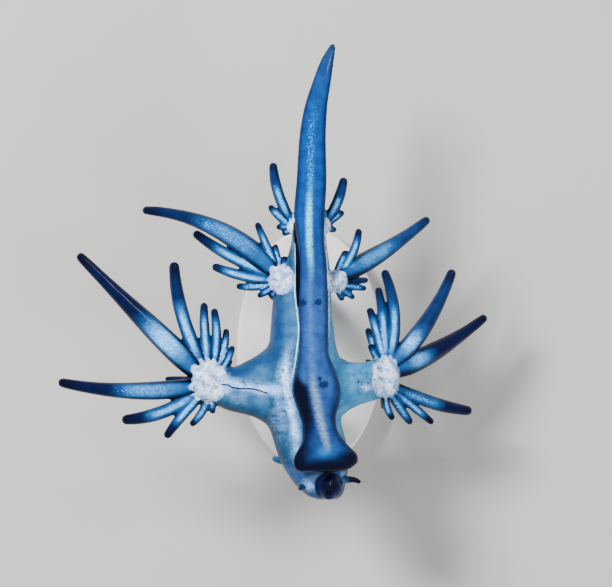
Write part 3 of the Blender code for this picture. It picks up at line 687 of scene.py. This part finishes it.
def thinned(obj):
    """The skin with fewer triangles on its underside, where it is plain."""
    mesh = obj.data
    facing_up = relaxed(mesh, normals_of(mesh)[:, 2], 4)
    group = obj.vertex_groups.new(name="below")
    group.add(np.flatnonzero(facing_up < -0.25).tolist(), 1.0, "REPLACE")
    decimate = obj.modifiers.new("Thin", "DECIMATE")
    decimate.ratio = SKIN_TRIANGLES / (2 * len(mesh.polygons))
    decimate.vertex_group = group.name
    apply_modifiers(obj)
    obj.vertex_groups.clear()
    return obj.data


def vectors(collection, name):
    """One vector of each member of a mesh's collection, as rows."""
    values = np.empty(len(collection) * 3)
    collection.foreach_get(name, values)
    return values.reshape(-1, 3)


def points_of(mesh):
    return vectors(mesh.vertices, "co")


def normals_of(mesh):
    return vectors(mesh.vertex_normals, "vector")


def set_points(mesh, points):
    mesh.vertices.foreach_set("co", points.ravel())
    mesh.update()


def relaxed(mesh, values, rounds):
    """Values on the mesh's vertices after each has moved halfway to its neighbours' mean a few times."""
    edges = np.empty(len(mesh.edges) * 2, np.int64)
    mesh.edges.foreach_get("vertices", edges)
    a, b = edges.reshape(-1, 2).T
    count = len(mesh.vertices)
    degree = np.bincount(a, minlength=count) + np.bincount(b, minlength=count)
    values = np.array(values, float)
    flat = values.reshape(count, -1)
    for _ in range(rounds):
        means = np.column_stack(
            [
                (np.bincount(a, flat[b, c], count) + np.bincount(b, flat[a, c], count)) / degree
                for c in range(flat.shape[1])
            ]
        )
        flat += 0.5 * (means - flat)
    return values


def distances(points, pieces):
    """How far each point is from the pieces' surface, up to LOOK_REACH, and the nearest face's index."""
    corners, faces = joined(pieces)
    tree = BVHTree.FromPolygons(corners.tolist(), faces)
    away, face = np.full(len(points), LOOK_REACH), np.full(len(points), -1)
    for i, point in enumerate(points.tolist()):
        _, _, index, distance = tree.find_nearest(point, LOOK_REACH)
        if index is not None:
            away[i], face[i] = distance, index
    return away, face


def ramp(values, low, high):
    """0 at low, 1 at high, smooth between."""
    t = np.clip((values - low) / (high - low), 0, 1)
    return t * t * (3 - 2 * t)


def blend(under, over, share):
    """The colour under with the one over it, by a share at each point."""
    under, over = np.asarray(under), np.asarray(over)
    return under + np.asarray(share)[:, None] * (over - under)


def webbed(mesh):
    """The skin with the creases between the trunk and the left arm filled out into one smooth sweep."""
    points = points_of(mesh)
    x, y, z = points.T
    near = ramp(np.abs(x - body_left(y)), WEB_REACH, 0.3) * ramp(z, -0.6, 0.0)
    near = near * ramp(y, -6.6, -5.8) * ramp(y, 1.2, 0.4)
    return points + near[:, None] * (relaxed(mesh, points, WEB_ROUNDS) - points)


def carved(points):
    """The skin with its mouth opened and the gap beside the foot sunk in."""
    lean = math.radians(MOUTH_LEAN)
    facing = np.array((0, -math.sin(lean), math.cos(lean)))
    upward = np.array((0, math.cos(lean), math.sin(lean)))
    offset = points - np.array(MOUTH_CENTRE)
    across, along, out = offset[:, 0], offset @ upward, offset @ facing
    spread = np.hypot(across / LIP_SPREAD[0], along / LIP_SPREAD[1])
    near = ramp(out, 0.3, 0.6) * ramp(np.linalg.norm(offset, axis=1), 1.5, 1.15)
    lips = LIP_RISE * np.exp(-(((spread - 1) / 0.45) ** 2))
    slit = SLIT_DEPTH * ramp(spread, 0.95, 0.2)
    points = points + (near * (lips - slit))[:, None] * facing
    points[:, 2] -= SLIT_SUNK * gap_beside_foot(points)
    return points


def gap_beside_foot(points):
    """1 in the gap between the ridge and the foot, and 0 away from it."""
    x, y, z = points.T
    start, end = SLIT[0][0], SLIT[-1][0]
    within = ramp(y, start, start + 0.8) * ramp(y, end, end - 0.8) * ramp(z, 0.3, 0.6)
    return within * ramp(np.abs(x - slit_across(y)) / slit_half(y), 1.5, 0.7)


def parts_of_skin(points, pieces):
    """A function for the share of each point that is a kind of piece, and the ceras face nearest to it."""
    away, face = {}, {}
    for kind in sorted({piece.kind for piece in pieces}):
        away[kind], face[kind] = distances(points, [piece for piece in pieces if piece.kind == kind])

    def share(kind):
        others = np.minimum.reduce([away[k] for k in away if k != kind])
        return ramp(others - away[kind], -0.05, 0.05)

    return share, face["ceras"]


def ceras_values(points, cerata, face):
    """Along each ceras from root 0 to tip 1, how far up its side a point is, and its own values."""
    table = [(fan, ceras) for fan in FANS for ceras in fan.cerata]
    counts = np.cumsum([len(piece.faces) for piece in cerata])
    which = np.searchsorted(counts, face, side="right")
    along, up = np.zeros(len(points)), np.zeros(len(points))
    for k, (fan, ceras) in enumerate(table):
        mine = np.flatnonzero((which == k) & (face >= 0))
        if not len(mine):
            continue
        path, radii = ceras_line(fan, ceras)
        spots = points[mine]
        near = np.linalg.norm(spots[:, None] - path[None], axis=2).argmin(1)
        before, after = path[np.maximum(near - 1, 0)], path[np.minimum(near + 1, len(path) - 1)]
        step = after - before
        slide = ((spots - path[near]) * step).sum(1) / (step * step).sum(1) * 2
        along[mine] = np.clip((near + slide) / (len(path) - 1), 0, 1.1)
        up[mine] = (spots[:, 2] - path[near][:, 2]) / radii[near]
    own = np.array([(slenderness(ceras), ceras.silver, ceras.dark, ceras.shine) for _, ceras in table])
    return along, up, *own[which].T


def feeler_reach(points):
    """How far along the nearest feeler each point is, and whether that feeler has a dark tip."""
    reach, nearest, dark_tip = np.zeros(len(points)), np.full(len(points), 9.0), np.zeros(len(points))
    for feeler in FEELERS:
        t = np.linspace(0, 1, 16)
        line = bowed(feeler.root, feeler.bend, feeler.tip, t)
        away = np.linalg.norm(points[:, None] - line[None], axis=2)
        closer = away.min(1) < nearest
        reach[closer], nearest[closer] = t[away.argmin(1)][closer], away.min(1)[closer]
        dark_tip[closer] = feeler.dark_tip
    return reach, dark_tip


def spot(points, patch):
    """How strong a soft oval patch of the plan is at each point, at most 1."""
    x, y, across, along, strength = patch
    off = ((points[:, 0] - x) / across) ** 2 + ((points[:, 1] - y) / along) ** 2
    return np.minimum(strength * np.exp(-off), 1)


def nearness(points, patches):
    """The strongest of several soft patches at each point."""
    return np.max([spot(points, patch) for patch in patches], axis=0)


def paint_flank(points, facing_up):
    """The colour of trunk, arms and head: steel blue above, paler on the right, and silver-grey below. The
    sides that turn away from straight up are painted darker towards teal as shade, and the tops that face
    straight up are painted paler as light.
    """
    x, y = points[:, 0], points[:, 1]
    beside = foot_left(y) - x  # how far left of the foot
    # Painted shade and light: teal on sides that turn away from up, pale steel on tops that face straight up.
    colour = blend(SIDE_SHADE_TEAL, STEEL, ramp(facing_up, 0.25, 0.82))
    colour = blend(colour, PALE_STEEL, ramp(facing_up, 0.80, 1.0))
    colour = blend(colour, DEEP_BLUE, nearness(points, FLANK_DEEP) * ramp(facing_up, 0.1, 0.4))
    strip = ramp(beside, 0.65, 0.10) * ramp(beside, -0.3, 0.1)
    colour = blend(colour, PALE_STEEL, ramp(y, -1.0, 1.0) * strip)
    right = ramp(x - foot_right(y), -0.10, 0.10) * ramp(y, -7.2, -5.5) * ramp(facing_up, 0.05, 0.40)
    colour = blend(colour, PALE_RIGHT, 0.8 * right)
    colour = blend(colour, HEAD_BLUE, ramp(y, -7.6, -8.4) * ramp(facing_up, 0.0, 0.5))
    return blend(colour, UNDERSIDE, ramp(facing_up, 0.0, -0.5))


def ridge(at, off, line):
    """How white a pearly ridge is at places along and across it."""
    place, half, share = line
    return share(at) * np.exp(-(((off - place(at)) / half(at)) ** 2))


def paint_foot(points):
    """The sole's colour, how silver and how speckled its stripe is, and the colour of that silver."""
    x, y = points[:, 0], points[:, 1]
    across = (2 * x - foot_left(y) - foot_right(y)) / np.maximum(foot_right(y) - foot_left(y), 0.2)
    colour = np.column_stack([channel(y) for channel in curves(SOLE)])
    colour = blend(colour, 0.26 * colour, ramp(np.abs(across), 0.55, 1.0))
    colour = blend(colour, NAVY, nearness(points, NAVY_PATCHES))
    colour = blend(colour, BRIGHT_BLUE, spot(points, FRONT_GLOW))
    left_patch = ramp(x - ink_edge(y), 0.42, -0.30) * ramp(y, -1.45, -1.95)
    lip = ramp(y - front_edge(x), 1.05, 0.30)
    colour = blend(colour, BLACK, np.maximum(left_patch, lip))
    colour = blend(colour, BLACK, nearness(points, SOFT_BLACK))
    off = np.abs(x - stripe_across(y)) / stripe_half(y)
    silver = ramp(off, 1.5, 0.0) * stripe_silver(y)
    specks = ramp(off, 1.6, 0.3) * stripe_specks(y)
    glint = blend(CYAN, ICE, ramp(y, 12.0, 9.5))
    glint = blend(glint, MIST, ramp(y, 7.0, 4.5))
    glint = blend(glint, ASH, ramp(y, -1.4, -2.8))
    return colour, silver, specks, glint


def paint_cerata(points, cerata, face):
    """The cerata's colour, how silver they are, how full of specks, and how far up its side a point is. Their
    sides are painted darker as shade, their roots are black with dark pigment and painted shade, and their
    silver streak is silver skin with a painted highlight.
    """
    along, up, broad, silver, dark, shine = ceras_values(points, cerata, face)
    # Painted shade: each ceras darkens down its sides, away from its crest, on its inner and its outer part.
    inner = blend(CERAS_SIDE_SHADE, CERAS_BLUE, ramp(up, 0.40, 0.92))
    outer = blend(CERAS_OUTER, CERAS_INK, dark)
    outer = blend(0.35 * outer, outer, ramp(up, 0.2, 0.8))
    colour = blend(inner, outer, ramp(along, silver - 0.06, silver + 0.12))
    colour = blend(colour, BLACK, ramp(along, 0.84, 1.0) * (0.5 + 0.5 * dark))
    # Black low on the sides near the roots: dark root pigment and painted shade between the cerata.
    colour = blend(colour, BLACK, 0.9 * ramp(along, 0.40, 0.10) * ramp(up, 0.98, 0.60))
    colour = blend(colour, CERAS_BELOW, ramp(up, -0.25, -0.75))
    # The silver streak along each crest: silver skin with a painted highlight.
    reach = ramp(along, silver + 0.06, silver - 0.14) * ramp(along, 0.08, 0.30)
    streak = ramp(up, 0.82 - 0.35 * broad, 1.0 - 0.05 * broad) * reach
    specks = ramp(up, 0.68, 0.98) * ramp(along, silver + 0.14, silver) * ramp(along, 0.10, 0.3)
    return colour, streak * shine, specks * (0.90 - 0.35 * shine), up


def bright_lines(points, facing_up):
    """The thin white lines along the rim beside the foot and along the foot's right edge; the one along the
    right edge is a painted highlight.
    """
    x, y = points[:, 0], points[:, 1]
    rim = np.exp(-(((x - rim_across(y)) / 0.062) ** 2)) * ramp(y, -2.6, -1.8) * ramp(y, 13.5, 9.5)
    # Painted highlight along the foot's right edge.
    right = 0.75 * np.exp(-(((x - foot_right(y) - 0.07) / 0.06) ** 2))
    right = right * ramp(y, -2.8, 2.5) * ramp(y, 11.0, 9.0)
    return np.maximum(rim, right) * ramp(facing_up, 0.0, 0.3)


def ink(points):
    """Where the skin is black with a sharp edge: the foot's spots and the crack along the left arm."""
    x, y = points[:, 0], points[:, 1]
    cracks = []
    for line in (CRACK, BRANCH):
        place = along_curve(line)
        slope = (place(x + 0.05) - place(x - 0.05)) / 0.1
        off = (y - place(x)) / np.hypot(1, slope)
        start, end = line[0][0], line[-1][0]
        within = ramp(x, start - 0.05, start + 0.1) * ramp(x, end + 0.05, end - 0.5)
        cracks.append(np.exp(-((off / CRACK_HALF) ** 2)) * within)
    return np.maximum.reduce([nearness(points, INK_PATCHES), *cracks])


def paint_hubs(points, tint, crest, between, off_foot):
    """The colour with dark gaps between the cerata's roots, dark pigment with painted shade, and how white
    each point is as part of a hub.
    """
    x, y, z = points.T
    dome = np.zeros(len(x))
    for fan in FANS:
        plan = np.hypot((x - fan.hub[0]) / fan.radii[0], (y - fan.hub[1]) / fan.radii[1])
        away = np.hypot(plan, 0.5 * (z - fan.hub[2] - fan.radii[2]) / fan.radii[2])
        above = ramp(z, fan.hub[2] - 0.4, fan.hub[2]) * off_foot
        # Painted shade with dark pigment in the valleys between the cerata's roots round each hub.
        tint = blend(tint, BLACK, 0.9 * ramp(away, 1.60, 1.05) * between * above)
        dome = np.maximum(dome, ramp(away - HUB_RAY * crest + HUB_NOTCH * between, 1.36, 0.50) * above)
    return tint, dome


def paint_face(points, tint, on_feeler, off_foot):
    """The colour with the dark mouth and the feelers, and where the mouth is."""
    reach = np.hypot(points[:, 0] - MOUTH_CENTRE[0], points[:, 1] - MOUTH_CENTRE[1])
    mouth = ramp(reach, 1.05, 0.95) * ramp(points[:, 2], -0.3, 0.1) * off_foot
    tint = blend(tint, BLACK, mouth)
    # A navy ring painted on the lips as their highlight.
    tint = blend(tint, MOUTH_BLUE, 0.7 * mouth * np.exp(-(((reach - 0.72) / 0.14) ** 2)))
    along, dark_tip = feeler_reach(points)
    tint = blend(tint, FEELER_BLUE, on_feeler)
    return blend(tint, BLACK, on_feeler * dark_tip * ramp(along, 0.30, 0.60)), mouth


def paint_skin(points, facing_up, pieces):
    """Colours and amounts on the skin's vertices that its material reads."""
    share, face = parts_of_skin(points, pieces)
    x, y = points[:, 0], points[:, 1]
    on_foot, on_cerata = share("foot"), share("ceras")
    off_foot = 1 - on_foot
    on_feeler = share("feeler") * off_foot
    sole, silver, specks, glint = paint_foot(points)
    cerata = [piece for piece in pieces if piece.kind == "ceras"]
    ceras_tint, streak, ceras_specks, up = paint_cerata(points, cerata, face)
    crest = on_cerata * ramp(up, 0.75, 1.0)
    tint = blend(paint_flank(points, facing_up), sole, on_foot)
    tint = blend(tint, ceras_tint, on_cerata)
    glint = blend(glint, SILVER, on_cerata)
    silver = silver * on_foot + streak * on_cerata
    specks = specks * on_foot + ceras_specks * on_cerata
    tint, dome = paint_hubs(points, tint, crest, on_cerata - crest, off_foot)
    tint, mouth = paint_face(points, tint, on_feeler, off_foot)
    plain = off_foot * (1 - on_cerata) * (1 - mouth) * (1 - on_feeler)
    ridges = np.maximum(ridge(y, x, flank_ridge), ridge(x, y, arm_ridge))
    # Pearly ridges and patches on skin that faces up: pearly skin with a painted highlight.
    pearl_and_highlight = np.maximum(nearness(points, PEARL_PATCHES), ridges) * ramp(facing_up, 0.2, 0.6) * plain
    capped = ramp(dome, 0.10, 0.30)
    return {
        "tint": tint,
        "glint": glint,
        "silver": silver * (1 - capped),
        "specks": specks * (1 - capped),
        "pearl_and_highlight": pearl_and_highlight,
        "dome": dome,
        # The gap beside the foot joins the black marks here as painted shade.
        "ink": np.maximum(ink(points), gap_beside_foot(points)),
        "smudge": nearness(points, SMUDGES) * on_foot,
        "line": bright_lines(points, facing_up) * (1 - on_cerata),
        "freckle": np.maximum(nearness(points, FRECKLED) * plain, 0.6 * capped),
    }


def write_values(mesh, values):
    for name, numbers in values.items():
        if numbers.ndim == 2:
            attribute = mesh.attributes.new(name, "FLOAT_COLOR", "POINT")
            flat = np.column_stack([np.clip(numbers, 0, 1), np.ones(len(numbers))]).ravel()
            attribute.data.foreach_set("color", flat.astype(np.float32))
        else:
            attribute = mesh.attributes.new(name, "FLOAT", "POINT")
            attribute.data.foreach_set("value", numbers.astype(np.float32))


def make_skin():
    """The animal's whole skin: fused, smoothed, thinned and painted, and then carved."""
    pieces = flesh_pieces()
    obj = fused("skin", pieces)
    set_points(obj.data, relaxed(obj.data, points_of(obj.data), 3))
    set_points(obj.data, webbed(obj.data))
    mesh = thinned(obj)
    points = points_of(mesh)
    facing_up = relaxed(mesh, normals_of(mesh)[:, 2], 4)
    values = paint_skin(points, facing_up, pieces)
    points = carved(points)
    set_points(mesh, points)
    # Painted shade: how deeply each point lies in a crease of the skin, such as between the cerata.
    crevice_shade = ((relaxed(mesh, points, 14) - points) * normals_of(mesh)).sum(1)
    values["crevice_shade"] = relaxed(mesh, crevice_shade, 2)
    write_values(mesh, values)
    set_points(mesh, (points + np.array((0, 0, AXIS_HEIGHT))) * MM)
    mesh.shade_smooth()
    return obj


class Nodes:
    """A few short ways to add shader nodes to a material."""

    def __init__(self, name):
        self.material = bpy.data.materials.new(name)
        self.material.use_nodes = True
        self.tree = self.material.node_tree

    def put(self, socket, value):
        if isinstance(value, bpy.types.NodeSocket):
            self.tree.links.new(value, socket)
        elif isinstance(value, tuple) and socket.type == "RGBA":
            socket.default_value = (*value, 1)
        else:
            socket.default_value = value

    def finish(self, **values):
        """Sets values of the material's surface, such as Base_Color."""
        for name, value in values.items():
            self.put(self.tree.nodes["Principled BSDF"].inputs[name.replace("_", " ")], value)
        return self.material

    def node(self, kind, inputs, **settings):
        """The outputs of a new node."""
        made = self.tree.nodes.new("ShaderNode" + kind)
        for name, value in settings.items():
            setattr(made, name, value)
        for name, value in inputs.items():
            self.put(made.inputs[name], value)
        return made.outputs

    def attribute(self, name, output="Fac"):
        return self.node("Attribute", {}, attribute_name=name)[output]

    def place(self, stretch=(1, 1, 1)):
        """The object's own coordinates in millimetres, stretched along each axis."""
        scale = [share / MM for share in stretch]
        return self.node("Mapping", {"Vector": self.node("TexCoord", {})["Object"], "Scale": scale})["Vector"]

    def math(self, operation, a, b):
        return self.node("Math", {0: a, 1: b}, operation=operation)[0]

    def times(self, a, *others):
        for b in others:
            a = self.math("MULTIPLY", a, b)
        return a

    def plus(self, a, b):
        return self.math("ADD", a, b)

    def uneven(self, value, noise, amount):
        """A value that noise raises and lowers by up to half the amount."""
        return self.plus(value, self.times(self.plus(noise, -0.5), amount))

    def step(self, value, low, high):
        """0 at low and 1 at high, smooth between."""
        inputs = {"Value": value, "From Min": min(low, high), "From Max": max(low, high)}
        inputs |= {"To Min": float(low > high), "To Max": float(low < high)}
        return self.node("MapRange", inputs, interpolation_type="SMOOTHSTEP")[0]

    def noise(self, scale, detail=3.0, stretch=(1, 1, 1), roughness=0.5):
        inputs = {"Vector": self.place(stretch), "Scale": scale, "Detail": detail, "Roughness": roughness}
        return self.node("TexNoise", inputs)["Fac"]

    def hairlines(self, scale):
        """How far a place is from the nearest of many thin, crossing lines."""
        inputs = {"Vector": self.place(), "Scale": scale}
        return self.node("TexVoronoi", inputs, feature="DISTANCE_TO_EDGE")["Distance"]

    def mix(self, factor, a, b, way="MIX"):
        return self.node("Mix", {0: factor, 6: a, 7: b}, data_type="RGBA", blend_type=way)[2]

    def bump(self, height, strength, distance, **under):
        inputs = {"Height": height, "Strength": strength, "Distance": distance * MM}
        return self.node("Bump", inputs | under)[0]


def silvered(n, colour, streaks, grain):
    """The colour with the soft silver of stripe and streaks, their bright specks and dark pits, and white
    sparkles painted as highlights on the silver.
    """
    silver, specks, glint = n.attribute("silver"), n.attribute("specks"), n.attribute("glint", "Color")
    soft = n.times(silver, n.uneven(0.80, streaks, 1.4))
    colour = n.mix(n.step(soft, 0.0, 0.9), colour, glint)
    sequins = n.step(n.plus(grain, n.times(n.plus(specks, -1.0), 0.30)), 0.50, 0.58)
    colour = n.mix(n.times(sequins, n.step(specks, 0.0, 0.3), 0.75), colour, glint)
    # Painted highlights: white sparkles where the silver is strongest.
    painted_sparkle = n.times(n.step(grain, 0.55, 0.66), n.step(soft, 0.45, 0.85), 0.7)
    colour = n.mix(painted_sparkle, colour, WHITE)
    pits = n.times(n.step(grain, 0.42, 0.34), n.step(specks, 0.1, 0.5), 0.75)
    return n.mix(pits, colour, n.mix(1.0, colour, (0.12, 0.20, 0.34), "MULTIPLY"))


def pearled(n, colour, fine, broad, streaks):
    """The colour with the pearly ridges, which are partly pearly skin and partly painted highlight, the hubs'
    white caps and the thin white lines.
    """
    pearl_and_highlight, dome = n.attribute("pearl_and_highlight"), n.attribute("dome")
    rough = n.uneven(n.uneven(n.uneven(0.0, fine, 0.6), broad, 0.7), streaks, 0.5)
    # Painted sheen and highlight over the pearly skin, rising from sheen to pearl to white.
    lustre = n.plus(pearl_and_highlight, n.times(rough, n.step(pearl_and_highlight, 0.02, 0.20)))
    colour = n.mix(n.step(lustre, 0.06, 0.50), colour, SHEEN)
    colour = n.mix(n.step(lustre, 0.42, 0.80), colour, PEARL)
    colour = n.mix(n.times(n.step(lustre, 0.78, 1.08), 0.9), colour, WHITE)
    patches = n.plus(n.noise(1.8, 4), n.times(n.step(dome, 0.80, 0.20), 0.12))
    white = n.mix(n.times(n.step(patches, 0.43, 0.62), 0.8), HUB_WHITE, HUB_SHADE)
    colour = n.mix(n.step(n.uneven(dome, fine, 0.4), 0.18, 0.32), colour, white)
    line = n.step(n.uneven(n.attribute("line"), fine, 0.8), 0.45, 0.85)
    return n.mix(n.times(line, 0.85), colour, WHITE)


def marked(n, colour, fine):
    """The colour with its freckles, smudges and black marks, and with black painted as shade in the skin's
    creases and in the gap beside the foot.
    """
    flecks = n.step(n.noise(3.4, 4, roughness=0.65), 0.55, 0.59)
    dots = n.times(n.plus(flecks, n.times(n.step(fine, 0.58, 0.64), 0.6)), 0.9)
    dots = n.plus(dots, n.times(n.step(n.hairlines(1.9), 0.030, 0.010), 0.4))
    colour = n.mix(n.times(dots, n.attribute("freckle")), colour, SPECK)
    smudge = n.step(n.uneven(n.attribute("smudge"), fine, 1.2), 0.35, 0.80)
    colour = n.mix(n.times(smudge, 0.85), colour, NAVY)
    # Black: the foot's spots and the arm's crack, and painted shade in the gap beside the foot.
    ink = n.step(n.uneven(n.attribute("ink"), fine, 0.9), 0.30, 0.62)
    colour = n.mix(n.times(ink, 0.96), colour, BLACK)
    # The skin's creases painted black as shade.
    return n.mix(n.times(n.step(n.attribute("crevice_shade"), 0.015, 0.060), 0.94), colour, BLACK)


def skin_material():
    n = Nodes("skin")
    fine, grain, broad = n.noise(6, 3), n.noise(10, 2), n.noise(1.6, 3)
    streaks = n.noise(4, 3, (0.6, 2.2, 1.0))
    shade = n.mix(n.step(broad, 0.62, 0.38), (1.0, 1.0, 1.0), (0.60, 0.68, 0.80))
    colour = n.mix(1.0, n.attribute("tint", "Color"), shade, "MULTIPLY")
    colour = silvered(n, colour, streaks, grain)
    colour = pearled(n, colour, fine, broad, streaks)
    colour = marked(n, colour, fine)
    n.finish(Base_Color=colour, Roughness=n.plus(0.34, n.times(fine, 0.16)))
    n.finish(Normal=n.bump(fine, 0.35, 0.03, Normal=n.bump(broad, 0.35, 0.12)))
    return n.finish(Specular_IOR_Level=0.15, Coat_Weight=0.4, Coat_Roughness=0.10, Coat_IOR=1.33)


def stand_plastic():
    n = Nodes("stand_plastic")
    grain = n.noise(14, 3)
    colour = n.mix(n.step(n.noise(0.4, 3), 0.3, 0.7), (0.62, 0.62, 0.60), (0.68, 0.68, 0.66))
    rough = n.plus(0.38, n.times(grain, 0.18))
    return n.finish(Base_Color=colour, Roughness=rough, Normal=n.bump(grain, 0.15, 0.02))


def stand_steel():
    n = Nodes("stand_steel")
    lines = n.noise(6, 2, (1, 1, 14))
    n.finish(Base_Color=(0.60, 0.61, 0.62), Metallic=1.0)
    return n.finish(Roughness=n.plus(0.24, n.times(lines, 0.2)), Normal=n.bump(lines, 0.1, 0.01))


def stand_wax():
    n = Nodes("stand_wax")
    grain = n.noise(9, 3)
    colour = n.mix(n.step(grain, 0.35, 0.65), (0.55, 0.57, 0.57), (0.66, 0.68, 0.68))
    rough = n.plus(0.16, n.times(grain, 0.14))
    return n.finish(Base_Color=colour, Roughness=rough, Normal=n.bump(grain, 0.3, 0.03))


def floor_material():
    n = Nodes("floor")
    colour = n.mix(n.noise(0.05, 2), (0.40, 0.395, 0.38), (0.44, 0.435, 0.42))
    return n.finish(Base_Color=colour, Roughness=0.75)


def make_lamp(name, place, size, power, mirrored):
    """A round lamp that shines at the model, which the wet skin mirrors or doesn't."""
    data = bpy.data.lights.new(name, "AREA")
    data.shape = "DISK"
    data.size = size * MM
    data.energy = power
    obj = bpy.data.objects.new(name, data)
    obj.location = Vector(place) * MM
    obj.rotation_euler = (Vector(LAMP_TARGET) - Vector(place)).to_track_quat("-Z", "Y").to_euler()
    obj.visible_glossy = mirrored
    bpy.context.collection.objects.link(obj)


def make_stage():
    corners = FLOOR_HALF * MM * np.array([(-1, -1, 0), (1, -1, 0), (1, 1, 0), (-1, 1, 0)])
    floor = new_object("floor", corners, [(0, 1, 2, 3)])
    floor.data.materials.append(floor_material())
    world = bpy.data.worlds.new("studio")
    world.use_nodes = True
    sky = world.node_tree.nodes["Background"].inputs
    sky["Color"].default_value = (*SKY, 1)
    sky["Strength"].default_value = SKY_STRENGTH
    bpy.context.scene.world = world
    for lamp in LAMPS:
        make_lamp(*lamp)


def make_camera():
    data = bpy.data.cameras.new("camera")
    data.sensor_width = SENSOR
    data.lens = SENSOR * CAMERA_DISTANCE / (PIXEL * PHOTO_WIDTH)
    data.clip_start = 0.01
    camera = bpy.data.objects.new("camera", data)
    camera.location = Vector((*VIEW_CENTRE, AXIS_HEIGHT + CAMERA_DISTANCE)) * MM
    bpy.context.collection.objects.link(camera)
    bpy.context.scene.camera = camera


def rounded_top(height, inset, edge):
    """Heights and insets of a rounded upper edge."""
    lean = np.radians(np.linspace(0, 90, 7))
    return list(zip(height - edge + edge * np.sin(lean), inset + edge - edge * np.cos(lean)))


def turned(name, centre, half, profile, material, replaced=()):
    """A round or oval piece of the stand, from heights above the floor and insets from its half widths."""
    angle = turns(STAND_SIDES)
    rings = []
    for height, inset in profile:
        across = centre[0] + (half[0] - inset) * np.cos(angle)
        along = centre[1] + (half[1] - inset) * np.sin(angle)
        rings.append(np.column_stack([across, along, np.full(STAND_SIDES, height)]))
    solid = loft("stand", rings)
    obj = new_object(name, solid.points * MM, solid.faces)
    obj.data.materials.append(material)
    obj.data.shade_smooth()
    obj.data.set_sharp_from_angle(angle=math.radians(SHARP_ANGLE))
    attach(obj, "root")
    if replaced:
        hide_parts(*replaced)


def make_stand():
    """The oval base, the two rods with their collars, and the wax that holds the body on them."""
    plastic, steel, wax = stand_plastic(), stand_steel(), stand_wax()
    low, high = (np.array(corner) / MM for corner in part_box("stand_base"))
    base_top = high[2]
    profile = [(low[2], FINE_EDGE), (low[2] + FINE_EDGE, 0), *rounded_top(base_top, 0, BASE_EDGE)]
    middle, half = (low + high) / 2, (high - low) / 2
    turned("stand_plinth", middle, half, profile, plastic, ["stand_base"])
    for place in ("front", "rear"):
        node = "stand_rod_" + place
        low, high = (np.array(corner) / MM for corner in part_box(node))
        middle, collar = (low + high) / 2, (high[0] - low[0]) / 2
        collar_top, rod_inset = low[2] + COLLAR_HEIGHT, collar - ROD_RADIUS
        profile = [
            (base_top - FINE_EDGE, WASHER_INSET),
            (low[2], WASHER_INSET),
            (low[2], FINE_EDGE),
            (low[2] + FINE_EDGE, 0),
            *rounded_top(collar_top, 0, COLLAR_EDGE),
            (collar_top, rod_inset),
            *rounded_top(high[2], rod_inset, FINE_EDGE),
        ]
        turned("stand_post_" + place, middle, (collar, collar), profile, steel, [node])
        bead = [(high[2] + height, -radius) for height, radius in WAX_BEAD]
        turned("stand_bead_" + place, middle, (0, 0), bead, wax)


def main():
    make_camera()
    make_stage()
    skin = make_skin()
    skin.data.materials.append(skin_material())
    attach(skin, "root")
    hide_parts(*[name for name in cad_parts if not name.startswith("stand_")])
    make_stand()


main()
